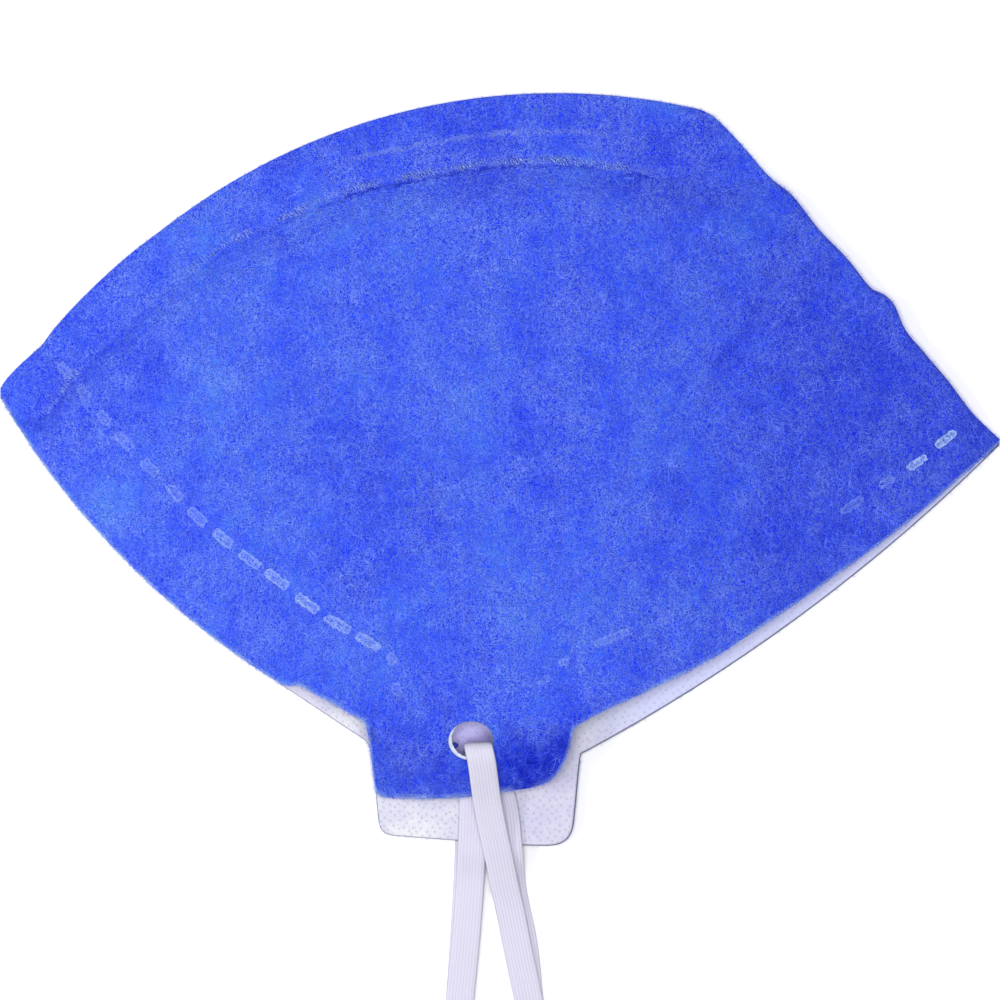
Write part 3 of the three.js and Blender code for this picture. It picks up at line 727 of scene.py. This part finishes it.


# The pressed flange is denser and darker; painted shade darkens the tab, the right half and the creases.
# The felt is paler beside the open edge and round the hole. The far half's cut edge is a darker grey-violet.
def finishCover(piece):
    x, y, z = pointsOf(piece).T
    upper = z > floorAt(x, y) + maskSet["wall"] + 0.3
    outside, pressed = spotAt(x, y)
    above = np.clip(aboveLine(weldAt, x, y), -9, 9)
    patchy = np.clip(0.75 + 0.6 * waves(x, y, 7, 6), 0, 1)
    ticks = weldShown(x) * (0.8 + 0.2 * ease(x, -35, -10)) * (1 - ease(x, 24, 34)) * patchy
    uneven = np.clip(0.6 + 0.6 * waves(x, y, 6, 7), 0, 1) * (0.35 + 0.65 * ease(x, -50, -25))
    flange = ease(above, 0.6, 2.5) * ease(x, -60, -30) * (1 - ease(x, 40, 55))
    tab = ease(mouthAt(x) - y, -6, 4) * onTab(x, y)
    # painted shade where the creases and dents sink
    creases = 0.6 * np.clip(-creaseAt(x, y), 0, 1)
    # painted shade on the tab, more at its right, and towards the right tip
    onLeft, addedRight = feltSet["tabShade"]
    dim = np.maximum(tab * (onLeft + addedRight * ease(x, -12, 4)), feltSet["rightShade"] * ease(x, 10, 60))
    fromEdge = aboveLine(nearEdge, x, y, 0.1)
    # the frayed open edge, painted pale as highlight on its fibres
    frayedHighlight = (1 - ease(fromEdge, 0.05, 0.6)) * np.clip(0.7 + 0.4 * waves(x, y, 5, 8), 0, 1)
    web = sum(amount * np.exp(-(((x - px) ** 2 + (y - py) ** 2) / spread**2))
              for px, py, spread, amount in webSet)
    web += 0.9 * (1 - ease(fromEdge, 0.1, 0.9))
    web += 1.0 * np.exp(-((ringAt(x, y, nearHole) - 1) / 0.14) ** 2)
    # a darker grey-violet along the far half's cut edge
    far = (1 - ease(aboveLine(farEdge, x, y, 0.1), 0.05, 0.5)) * (y < mouthAt(x) + 4)
    for name, values in {
            "spotOutside": outside, "spotPressed": pressed * upper, "weldAbove": above,
            "weldAlong": x + 0.8 * above, "ticksShown": ticks * upper,
            "grooveShown": weldShown(x) * uneven * upper,
            "secondShown": 0.35 * secondShown(x) * patchy * upper,
            "shaded": np.maximum(creases, dim) * upper, "frayedHighlight": frayedHighlight,
            # the tab's share is painted shade
            "webAndPaintedShade": (web - 0.5 * flange - 0.4 * tab) * upper, "farCutEdgeTone": far * ~upper}.items():
        giveNumbers(piece, name, values)
    piece.data.materials.append(felt)


cover = coverWall()
print("cover surface made")
punchHole(cover, nearHole, 4.0, 30.0)
punchHole(cover, farHole, -3.0, 3.9)
finishCover(cover)
print("cover done", len(cover.data.polygons))

# Loose fibres of the felt, laid on its face and standing out of its cut edges. Each is a thin curl with
# three sides; the real ones are 0.03 mm thick and these are drawn thicker, so that they show.
fuzzSet = {
    "laid": {"count": 5900, "length": (1.5, 5.5), "curl": 1.8, "radius": (0.03, 0.048), "rise": 0.12,
             "stations": 6},
    "curled": {"count": 9600, "length": (0.6, 1.8), "curl": 3.0, "radius": (0.03, 0.055), "rise": 0.16,
               "stations": 4},
    "edge": {"count": 5600, "length": (0.35, 1.0), "curl": 2.4, "radius": (0.02, 0.036), "stations": 4},
    "field": ((-96, 96), (-58, 79)),  # fibres are scattered over this, then kept where the felt is
    # the pale tones are painted highlight; the real fibres have the felt's dye
    "tone": "#7E9CFF", "edgeHighlightTone": "#AFC6FF",
}


# one fibre: smoother than the felt, from the felt's middle blue to a pale tone in patches, which is
# painted highlight
def makeFibre(name, pale):
    material, add = newMaterial(name)
    place = add("TexCoord", out="Object")
    tone = add("TexNoise", {"Vector": place, "Scale": 1000 / 5.0, "Detail": 2.0})
    tone = add("MapRange", {"Value": tone, "From Min": 0.35, "From Max": 0.65})
    colour = add("Mix", {0: tone, 6: linear(feltSet["middle"]), 7: linear(pale)}, out=2, data_type="RGBA")
    surface = add("BsdfPrincipled", {"Base Color": colour, "Roughness": 0.6, "Sheen Weight": 0.1,
                                     "Specular IOR Level": 0.3})
    add("OutputMaterial", {"Surface": surface}, out=None)
    return material


fibre = makeFibre("blueFibre", fuzzSet["tone"])
paleFibre = makeFibre("paleBlueFibre", fuzzSet["edgeHighlightTone"])


# Headings along curls: each starts at its own heading, turns evenly and wavers, and its steps add up
# to its length. Gives x and y as fibres by stations.
def curls(x, y, heading, kind, draw):
    count, stations = len(x), kind["stations"]
    length = draw.uniform(*kind["length"], count)
    share = np.linspace(0, 1, stations)
    bend, waver = draw.normal(0, kind["curl"], count), draw.normal(0, 0.5, count)
    phase = draw.uniform(0, 2 * np.pi, count)
    angle = (heading[:, None] + bend[:, None] * share
             + waver[:, None] * np.sin(fullTurn * share + phase[:, None]))
    step = (length / (stations - 1))[:, None]
    px, py = (start[:, None] + np.concatenate([np.zeros((count, 1)), np.cumsum(move[:, :-1], 1)], 1)
              for start, move in ((x, step * np.cos(angle)), (y, step * np.sin(angle))))
    return px, py, angle, share


# A three-sided tube along each curl, square to its heading; it narrows by half towards both ends, with
# the third power of the distance from its middle.
def fibrePiece(name, px, py, pz, angle, kind, draw, finish):
    count, stations = px.shape
    slender = 1 - 0.5 * abs(np.linspace(-1, 1, stations)) ** 3
    radius = draw.uniform(*kind["radius"], count)[:, None] * slender
    corner = np.array([0.5, 0.5 + 2 / 3, 0.5 + 4 / 3]) * np.pi
    aside, up = radius[:, :, None] * np.cos(corner), radius[:, :, None] * np.sin(corner)
    points = np.stack([px[:, :, None] - np.sin(angle)[:, :, None] * aside,
                       py[:, :, None] + np.cos(angle)[:, :, None] * aside, pz[:, :, None] + up], 3)
    ids = np.arange(count * stations * 3).reshape(count, stations, 3)
    beside = np.roll(ids, -1, 2)
    quads = np.stack([ids[:, :-1], beside[:, :-1], beside[:, 1:], ids[:, 1:]], 3).reshape(-1, 4)
    caps = np.concatenate([ids[:, 0, ::-1], ids[:, -1]])
    piece = meshPiece(name, points.reshape(-1, 3), quads, caps)
    piece.data.materials.append(finish)
    return piece


# fibres that lie on the near half: both ends sink into the felt
def laidFibres(name, kind, seed):
    draw = np.random.default_rng(seed)
    x, y = (draw.uniform(*reach, kind["count"] * 4) for reach in fuzzSet["field"])
    inside = (y > nearEdge(x) + 0.3) & (y < upperEdge(x) - 0.3) & (ringAt(x, y, nearHole) > 1.1)
    x, y = x[inside][:kind["count"]], y[inside][:kind["count"]]
    px, py, angle, share = curls(x, y, draw.uniform(0, fullTurn, len(x)), kind, draw)
    held = (py > nearEdge(px)) & (py < upperEdge(px)) & (ringAt(px, py, nearHole) > 1.04)
    kept = held.all(1)
    px, py, angle = px[kept], py[kept], angle[kept]
    rise = draw.uniform(0.3, 1.0, len(px))[:, None] * kind["rise"] * np.sin(np.pi * share) ** 0.6
    return fibrePiece(name, px, py, topAt(px, py) + rise - 0.04, angle, kind, draw, fibre)


# Fibres that stand out of the cut edges: a start just inside the edge, at any height of its wall. An
# edge is its x, y, the sense of its inward side and its part of the fibres.
def edgeFibres(name, kind, seed):
    draw = np.random.default_rng(seed)
    x = columnsAcross(0.5, 0.1, maskSet["tipX"])
    edges = [(x, nearEdge(x), 1, 0.8), (x, upperEdge(x), -1, 0.12), (x, farEdge(x), 1, 0.08)]
    starts = []
    for ex, ey, sense, part in edges:
        nx, ny = inward(ex, ey)
        travelled = np.concatenate([[0], np.cumsum(np.hypot(np.diff(ex), np.diff(ey)))])
        at = draw.uniform(0, travelled[-1], int(kind["count"] * part))
        sx, sy, nx, ny = (np.interp(at, travelled, row) for row in (ex, ey, nx * sense, ny * sense))
        level = draw.uniform(0.15, 0.95, len(at))
        starts.append((sx + 0.3 * nx, sy + 0.3 * ny, np.arctan2(-ny, -nx), level))
    near, upper, far = starts
    heights = [topAt(near[0], near[1]) - near[3] * maskSet["wall"],
               upper[3] * topAt(upper[0], upper[1] - 0.5),
               floorAt(far[0], far[1]) + far[3] * maskSet["wall"]]
    sx, sy, heading = (np.concatenate([row[k] for row in starts]) for k in range(3))
    px, py, angle, share = curls(sx, sy, heading + draw.normal(0, 0.7, len(sx)), kind, draw)
    pz = np.concatenate(heights)[:, None] + draw.normal(-0.05, 0.25, len(sx))[:, None] * share
    return fibrePiece(name, px, py, np.maximum(pz, 0.08), angle, kind, draw, paleFibre)


fuzz = [laidFibres("laidFibres", fuzzSet["laid"], 31), laidFibres("curledFibres", fuzzSet["curled"], 32),
        edgeFibres("edgeFibres", fuzzSet["edge"], 33)]
print("fibres done")

# Spunbond polypropylene, white: smooth and slightly translucent, with rows of small point bonds where
# the web was pressed to a film, which look darker. The bonds are 0.42 mm across and 1.8 mm apart, as on
# the real one. It gets painted shade and a painted blue glow from the felt beside the open edges, and
# painted light and painted shadow inside the hole.
liningSet = {
    "white": "#D9DADF", "shade": "#BFBDD7", "bond": "#A3A1B9", "pitch": 1.8, "bondSize": 0.42,
    # the hole's pale rim, painted light and painted shadow inside the hole, and a painted blue glow from the
    # felt
    "rim": "#E6F0FF", "paintedHoleLight": "#CEC8FF", "paintedHoleShadow": "#8C87C4", "paintedBlueGlow": "#CCD0F3",
    "cloud": 6.0, "grain": 0.4,   # sizes of the web's unevenness, mm
    "wall": 0.75, "clear": 0.27,  # thickness, distance to the felt
    "hem": 0.14, "back": 3.2, "foldBack": 1.2,  # back from the edge, from the weld, more at the fold
    "reach": (-91.5, 94.5), "spacing": 0.95, "fine": 0.3,
    "nearRows": 50, "farRows": 70, "insideRows": 34,
    "flat": (0.138, 0.272), "area": 0.0295,
}


def makeSpunbond():
    lining = liningSet
    material, add = newMaterial("whiteSpunbond")
    place = add("TexCoord", out="Object")
    cloud, fine = (add("TexNoise", {"Vector": place, "Scale": 1000 / size, "Detail": detail})
                   for size, detail in ((lining["cloud"], 3.0), (lining["grain"], 2.0)))
    cloud = add("MapRange", {"Value": cloud, "From Min": 0.35, "From Max": 0.7})
    dust = add("MapRange", {"Value": fine, "From Min": 0.5, "From Max": 0.3, "To Max": 0.35})
    # a square grid of bonds turned to the diagonal, each a little out of place and worn
    side = 1000 / (lining["pitch"] / np.sqrt(2))
    turned = add("Mapping", {"Vector": place, "Rotation": (0, 0, 0.83), "Scale": (side, side, side)})
    away = add("TexVoronoi", {"Vector": turned, "Scale": 1.0, "Randomness": 0.55}, out="Distance",
               voronoi_dimensions="2D")
    size = lining["bondSize"] / lining["pitch"] * np.sqrt(2) / 2
    bond = add("MapRange", {"Value": away, "From Min": size * 1.3, "From Max": size * 0.7})
    worn = add("MapRange", {"Value": fine, "From Min": 0.3, "From Max": 0.6, "To Min": 0.3})
    bond = add("Math", {0: bond, 1: worn}, operation="MULTIPLY")
    number = {name: add("Attribute", out="Fac", attribute_name=name) for name in (
        "paintedStripShade", "paintedBlueGlow", "rim", "paintedHoleLight", "paintedHoleShadow")}
    clear = add("MapRange", {"Value": number["paintedStripShade"], "To Min": 0.45, "To Max": 0.05})
    clear = add("Math", {0: bond, 1: clear}, operation="MULTIPLY")
    colour = linear(lining["white"])
    # the shade tone comes in with the cloud, and as painted shade in the strips
    for part, tone in ((cloud, "shade"), (dust, "bond"), (number["paintedStripShade"], "shade"),
                       (number["paintedBlueGlow"], "paintedBlueGlow"), (clear, "bond"), (number["rim"], "rim"),
                       (number["paintedHoleLight"], "paintedHoleLight"), (number["paintedHoleShadow"], "paintedHoleShadow")):
        colour = add("Mix", {0: part, 6: colour, 7: linear(lining[tone])}, out=2, data_type="RGBA")
    height = add("Math", {0: bond, 1: -1.0, 2: fine}, operation="MULTIPLY_ADD")
    bumps = add("Bump", {"Height": height, "Distance": 0.15 * mm, "Strength": 0.8})
    surface = add("BsdfPrincipled", {"Base Color": colour, "Normal": bumps, "Roughness": 0.7,
                                     "Sheen Weight": 0.1, "Specular IOR Level": 0.3})
    add("OutputMaterial", {"Surface": surface}, out=None)
    return material


spunbond = makeSpunbond()


# lining thickness and its distance to the felt: both shrink where the pocket closes
def liningThick(x, y):
    return np.minimum(gapAt(x, y) / 4, liningSet["wall"])


def liningClear(x, y):
    return np.minimum(gapAt(x, y) / 5, liningSet["clear"])


# The lining is a second wall inside the first, with its cut edges a little back from the cover's. Each
# of its leaves follows the cover's inside at the clear distance, once for each of its faces.
def liningWall():
    x = columnsAcross(liningSet["spacing"], liningSet["fine"], liningSet["reach"][1])
    x = x[x > liningSet["reach"][0]]
    near, far = nearEdge(x), farEdge(x)
    steps = np.array(roundings) + liningSet["hem"] * (1 + ease(x, -10, 20))[:, None]
    tip = ease(abs(x), 60, 97)
    end = weldAt(x) - liningSet["back"] - liningSet["foldBack"] * alongFold(x) * (1 - tip)
    end = np.maximum(end, np.maximum(near, far) + 1.2)

    def leaf(edge, rows, near, outside):
        lx, ly = rowsFrom(x, edge, end, steps, rows, 0.5 if outside else 0.0)
        thick, clear = liningThick(lx, ly), liningClear(lx, ly)
        sense = -1 if near else 1
        lz = ceilingAt(lx, ly) if near else floorAt(lx, ly) + maskSet["wall"]
        lz = lz + sense * clear + (0 if outside else sense) * thick
        lz[:, :3] += sense * (1 if outside else -1) * lipDrop * thick[:, :3]
        return lx, ly, lz

    sides = []
    for outside, bulge, nearRows, farRows in ((True, 0.15, "nearRows", "insideRows"),
                                              (False, 0.05, "insideRows", "farRows")):
        upper = leaf(near, liningSet[nearRows], True, outside)
        lower = leaf(far, liningSet[farRows], False, outside)
        middle = (upper[2][:, -1:] + lower[2][:, -1:]) / 2
        sides.append(joined(upper, (x[:, None], end[:, None] + bulge, middle), lower))
    return wallPiece("liningSheet", *sides)


# Painted shade lies on the lining away from the tab, under the near half's edge, and a painted blue glow
# from the felt towards the right; inside the hole come painted light and painted shadow.
def finishLining(piece):
    x, y, z = pointsOf(piece).T
    # painted shade everywhere but on the tab, and less on the tab's right
    paintedStripShade = 1 - ease(farEdge(x) + 20 - y, 0, 20) * onTab(x, y)
    giveNumbers(piece, "paintedStripShade", np.maximum(paintedStripShade, 0.45 * ease(x, -4, 10)))
    giveNumbers(piece, "paintedBlueGlow", 0.85 * ease(x, 12, 34))  # painted blue glow of light from the felt
    near, ring = z > 7, ringAt(x, y, nearHole)
    # painted shadow inside the hole, deeper towards the strap at its lower right
    deep = ease((x - nearHole["centre"][0]) / 2 - y + nearHole["centre"][1], -0.6, 1.3)
    # painted light on the far lining seen through the hole
    seen = (1 - ease(ring, 1.05, 1.35)) * ~near
    giveNumbers(piece, "rim", (1 - ease(ring, 1.0, 1.3)) * near)
    giveNumbers(piece, "paintedHoleLight", seen)
    giveNumbers(piece, "paintedHoleShadow", 0.8 * deep * seen)
    piece.data.materials.append(spunbond)


nearLiningHole = {"centre": (-5.1, -46.2), "radii": (4.25, 3.75)}
darkSpotOpening = {"centre": (-9.0, -47.75), "radii": (0.95, 0.6)}  # small opening in the lining beside the far hole, where the felt in shade shows as a dark spot
lining = liningWall()
print("lining surface made")
punchHole(lining, nearLiningHole, 4.2, 30.0)
punchHole(lining, farHole, -3.0, 4.1)
punchHole(lining, darkSpotOpening, -3.0, 4.1, 24)
finishLining(lining)
print("lining done", len(lining.data.polygons))

# Braided flat elastic, polyester over rubber: soft, matt, lilac-white, with long ribs and fine slanted
# threads between them. Rib and thread spacing are the real ones.
strapSet = {
    "width": 5.5, "thickness": 1.0, "ribs": 9, "ribDepth": 0.1, "stations": 720, "threads": 0.42,
    "white": "#CECBDF", "groove": "#B0ABCA", "thread": "#E1DFED", "fuzz": 0.5, "soft": 12.0,
    # centre line of the loop, once round: over the near tab, through its hole, back under it to the
    # end turn, along the ground, up through the far hole, and back to the other end turn
    "route": [
        (18.3, -186, 2.1), (12.4, -140, 1.85), (5.6, -97.5, 1.85), (3.4, -87, 1.85), (1.9, -79.5, 2.2),
        (0.75, -74.5, 3.6), (-0.1, -70, 5.3), (-1.0, -66, 6.8), (-1.8, -62, 8.2), (-2.55, -58, 9.9),
        (-2.95, -55, 11.8), (-3.3, -52.2, 13.6), (-3.65, -49.9, 14.9), (-4.0, -48.3, 15.2),
        (-4.25, -47.3, 14.2), (-4.25, -47.2, 12.7), (-4.1, -47.9, 11.3), (-3.95, -49.5, 10.3),
        (-4.2, -51.5, 9.3), (-4.7, -54, 7.7), (-5.1, -56.4, 6.2), (-5.2, -58.4, 5.2), (-5.25, -61, 4.7),
        (-5.3, -64, 4.6), (-5.5, -67.7, 4.55), (-5.6, -70.7, 3.3), (-5.75, -73.7, 2.1), (-6.0, -77.5, 1.85),
        (-6.5, -84, 1.85), (-7.8, -97.5, 1.85), (-11.2, -140, 1.85), (-15.4, -186, 2.1),
        (-15.8, -190, 2.6), (-16, -191.6, 1.6), (-15.8, -190.2, 0.65), (-15.4, -187, 0.5),
        (-11.2, -140, 0.5), (-7.8, -97.5, 0.5), (-6.4, -76, 0.5), (-5.8, -63, 0.5), (-5.4, -57.5, 0.5),
        (-4.9, -55.6, 0.5), (-4.6, -54.2, 0.6), (-4.5, -53, 1.3), (-4.3, -52.4, 2.4), (-4, -52.6, 3.6),
        (-3.2, -53.5, 4.5), (-1.8, -54.9, 4.7), (-0.3, -56.4, 4.6), (0.45, -58.4, 4.6), (1.1, -62, 4.6),
        (1.65, -67.5, 4.6), (1.9, -70.3, 3.4), (2.1, -73.1, 1.5), (2.4, -76, 0.5), (3.2, -80, 0.5),
        (4.2, -84.6, 0.5), (5.0, -90, 0.5), (5.7, -97.5, 0.5), (12.4, -140, 0.5), (18.3, -187, 0.5),
        (18.8, -190.2, 0.65), (19, -191.6, 1.6), (18.8, -190, 2.6)],
}


def makeBraid():
    strap = strapSet
    material, add = newMaterial("lilacWhiteBraid")
    across = add("UVMap", uv_map="ribs")
    parts = add("SeparateXYZ", {0: across}, out=None).outputs
    # distance from a rib's middle, in ribs
    rib = add("Math", {0: parts[0], 1: strap["ribs"] / strap["width"]}, operation="MULTIPLY")
    for operation in ("FRACT", "SUBTRACT", "ABSOLUTE"):
        rib = add("Math", {0: rib, 1: 0.5}, operation=operation)
    # a thread is a wave along the strap that slants back from each rib's middle
    slant = add("Math", {0: rib, 1: 0.9, 2: parts[1]}, operation="MULTIPLY_ADD")
    turns = add("Math", {0: slant, 1: 2 * np.pi / strap["threads"]}, operation="MULTIPLY")
    thread = add("Math", {0: turns}, operation="SINE")
    place = add("TexCoord", out="Object")
    fuzz, soft = (add("TexNoise", {"Vector": place, "Scale": 1000 / size, "Detail": detail})
                  for size, detail in ((strap["fuzz"], 3.0), (strap["soft"], 2.0)))
    pale = add("MapRange", {"Value": thread, "From Min": -1.0})
    pale = add("Math", {0: pale, 1: fuzz}, operation="MULTIPLY")
    # painted shade in the grooves between the ribs, uneven in patches
    groove = add("MapRange", {"Value": rib, "From Min": 0.3, "From Max": 0.5})
    uneven = add("MapRange", {"Value": soft, "From Min": 0.3, "From Max": 0.7, "To Min": 0.35,
                              "To Max": 0.75})
    groove = add("Math", {0: groove, 1: uneven}, operation="MULTIPLY")
    colour = linear(strap["white"])
    for part, tone in ((pale, "thread"), (groove, "groove")):
        colour = add("Mix", {0: part, 6: colour, 7: linear(strap[tone])}, out=2, data_type="RGBA")
    height = add("Math", {0: thread, 1: 0.4, 2: fuzz}, operation="MULTIPLY_ADD")
    bumps = add("Bump", {"Height": height, "Distance": 0.1 * mm, "Strength": 0.7})
    surface = add("BsdfPrincipled", {"Base Color": colour, "Normal": bumps, "Roughness": 0.75,
                                     "Sheen Weight": 0.15, "Specular IOR Level": 0.3})
    add("OutputMaterial", {"Surface": surface}, out=None)
    return material


# A flat section with ribs carried round the closed route, its width always level. The section is an
# oval with flat sides, one less the seventh power of the distance from its middle, under a root.
def strapLoop():
    strap = strapSet
    route = np.array(strap["route"])
    wrapped = np.concatenate([route[-4:], route, route[:4]])  # some points again, to close it smoothly
    travelled = np.concatenate([[0], np.cumsum(np.linalg.norm(np.diff(wrapped, axis=0), axis=1))])
    first, last = travelled[4], travelled[4 + len(route)]
    stations = strap["stations"]
    at = np.linspace(first, last, stations, endpoint=False)
    centre = np.stack([steady(np.stack([travelled, wrapped[:, axis]], 1))(at) for axis in range(3)], 1)
    for _ in range(3):
        centre = (np.roll(centre, 1, 0) + 2 * centre + np.roll(centre, -1, 0)) / 4
    centre[:, 2] = np.maximum(centre[:, 2], strap["thickness"] / 2 + 0.02)
    along = np.roll(centre, -1, 0) - np.roll(centre, 1, 0)
    along /= np.linalg.norm(along, axis=1, keepdims=True)
    # square to the heading in plan, the same way on every stretch, and averaged over the turns
    level = np.stack([-along[:, 1], along[:, 0], np.zeros(stations)], 1)
    level *= np.where(along[:, 1] < 0, 1, -1)[:, None]
    level = sum(np.roll(level, k, 0) for k in range(-16, 17))
    level /= np.linalg.norm(level, axis=1, keepdims=True)
    out = np.cross(level, along)
    out /= np.linalg.norm(out, axis=1, keepdims=True)

    share = np.linspace(-1, 1, strap["ribs"] * 4 + 1)
    oval = (1 - abs(share) ** 7) ** 0.5
    ribs = 1 - strap["ribDepth"] * (1 - abs(np.sin((share + 1) / 2 * strap["ribs"] * np.pi)))
    up = strap["thickness"] / 2 * oval * ribs
    u = np.concatenate([share, share[-2:0:-1]]) * strap["width"] / 2
    v = np.concatenate([up, -up[-2:0:-1]])
    points = centre[:, None] + level[:, None] * u[None, :, None] + out[:, None] * v[None, :, None]
    ids = np.arange(stations * len(u)).reshape(stations, len(u))
    ahead, beside = np.roll(ids, -1, 0), np.roll(ids, -1, 1)
    both = np.roll(ahead, -1, 1)
    quads = np.stack([ids.ravel(), beside.ravel(), both.ravel(), ahead.ravel()], 1)
    piece = meshPiece("strapLoop", points.reshape(-1, 3), quads)
    # the flat map has mm across the strap and mm along it
    step = (last - first) / stations
    start, run = np.meshgrid(np.arange(stations) * step, np.append(u, u[0]) + strap["width"] / 2,
                             indexing="ij")
    start, left, right = start[:, :-1], run[:, :-1], run[:, 1:]
    corners = [(left, start), (right, start), (right, start + step), (left, start + step)]
    uv = np.stack([np.stack(corner, 2) for corner in corners], 2)
    layer = piece.data.uv_layers.new(name="ribs")
    layer.data.foreach_set("uv", uv.astype(np.float32).ravel())
    piece.data.materials.append(makeBraid())
    print("strap loop, mm:", round(float(last - first)))
    return piece


strap = strapLoop()

stageSet = {"half": 900.0, "below": 0.05, "paper": "#F7F7FA"}  # half size, depth under the mask, in mm


# a level sheet of matt pale paper, which spreads the light evenly and shows no gloss
def makeStage():
    half = stageSet["half"]
    points = np.array([(-half, -half, 0), (half, -half, 0), (half, half, 0), (-half, half, 0)])
    table = meshPiece("table", points - [0, 0, stageSet["below"]], np.array([[0, 1, 2, 3]]))
    material, add = newMaterial("palePaper")
    surface = add("BsdfPrincipled", {"Base Color": linear(stageSet["paper"]), "Roughness": 0.9,
                                     "Specular IOR Level": 0.1})
    add("OutputMaterial", {"Surface": surface}, out=None)
    table.data.materials.append(material)


# a large soft light from the left, another above and a white room
lightSet = [
    {"name": "keyLight", "place": (-700, -60, 900), "size": 500, "power": 14.0},
    {"name": "overhead", "place": (-60, -60, 2000), "size": 800, "power": 32.5},
]
roomSet = {"colour": "#FFFFFF", "strength": 0.32}


# each lamp looks at the mask's middle: it leans by its angle off the vertical, then turns to it
def lightScene():
    for light in lightSet:
        data = bpy.data.lights.new(light["name"], "AREA")
        data.size = light["size"] * mm
        data.energy = light["power"]
        lamp = bpy.data.objects.new(light["name"], data)
        place = np.array(light["place"], float)
        lamp.location = (place + home) * mm
        heading = -place / np.linalg.norm(place)
        lamp.rotation_euler = (np.arccos(-heading[2]), 0, np.arctan2(heading[0], -heading[1]))
        bpy.context.scene.collection.objects.link(lamp)
    world = bpy.data.worlds.new("room")
    world.use_nodes = True
    background = world.node_tree.nodes["Background"]
    background.inputs[0].default_value = linear(roomSet["colour"])
    background.inputs[1].default_value = roomSet["strength"]
    bpy.context.scene.world = world


makeStage()
lightScene()
print("table and lights done")

for piece, node, finish in ((cover, "cover", "cover_nonwoven"), (lining, "lining", "lining_nonwoven"),
                            (strap, "head_strap", "elastic_braid")):
    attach(piece, "root")
    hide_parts(node)
for piece in fuzz:
    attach(piece, "root")
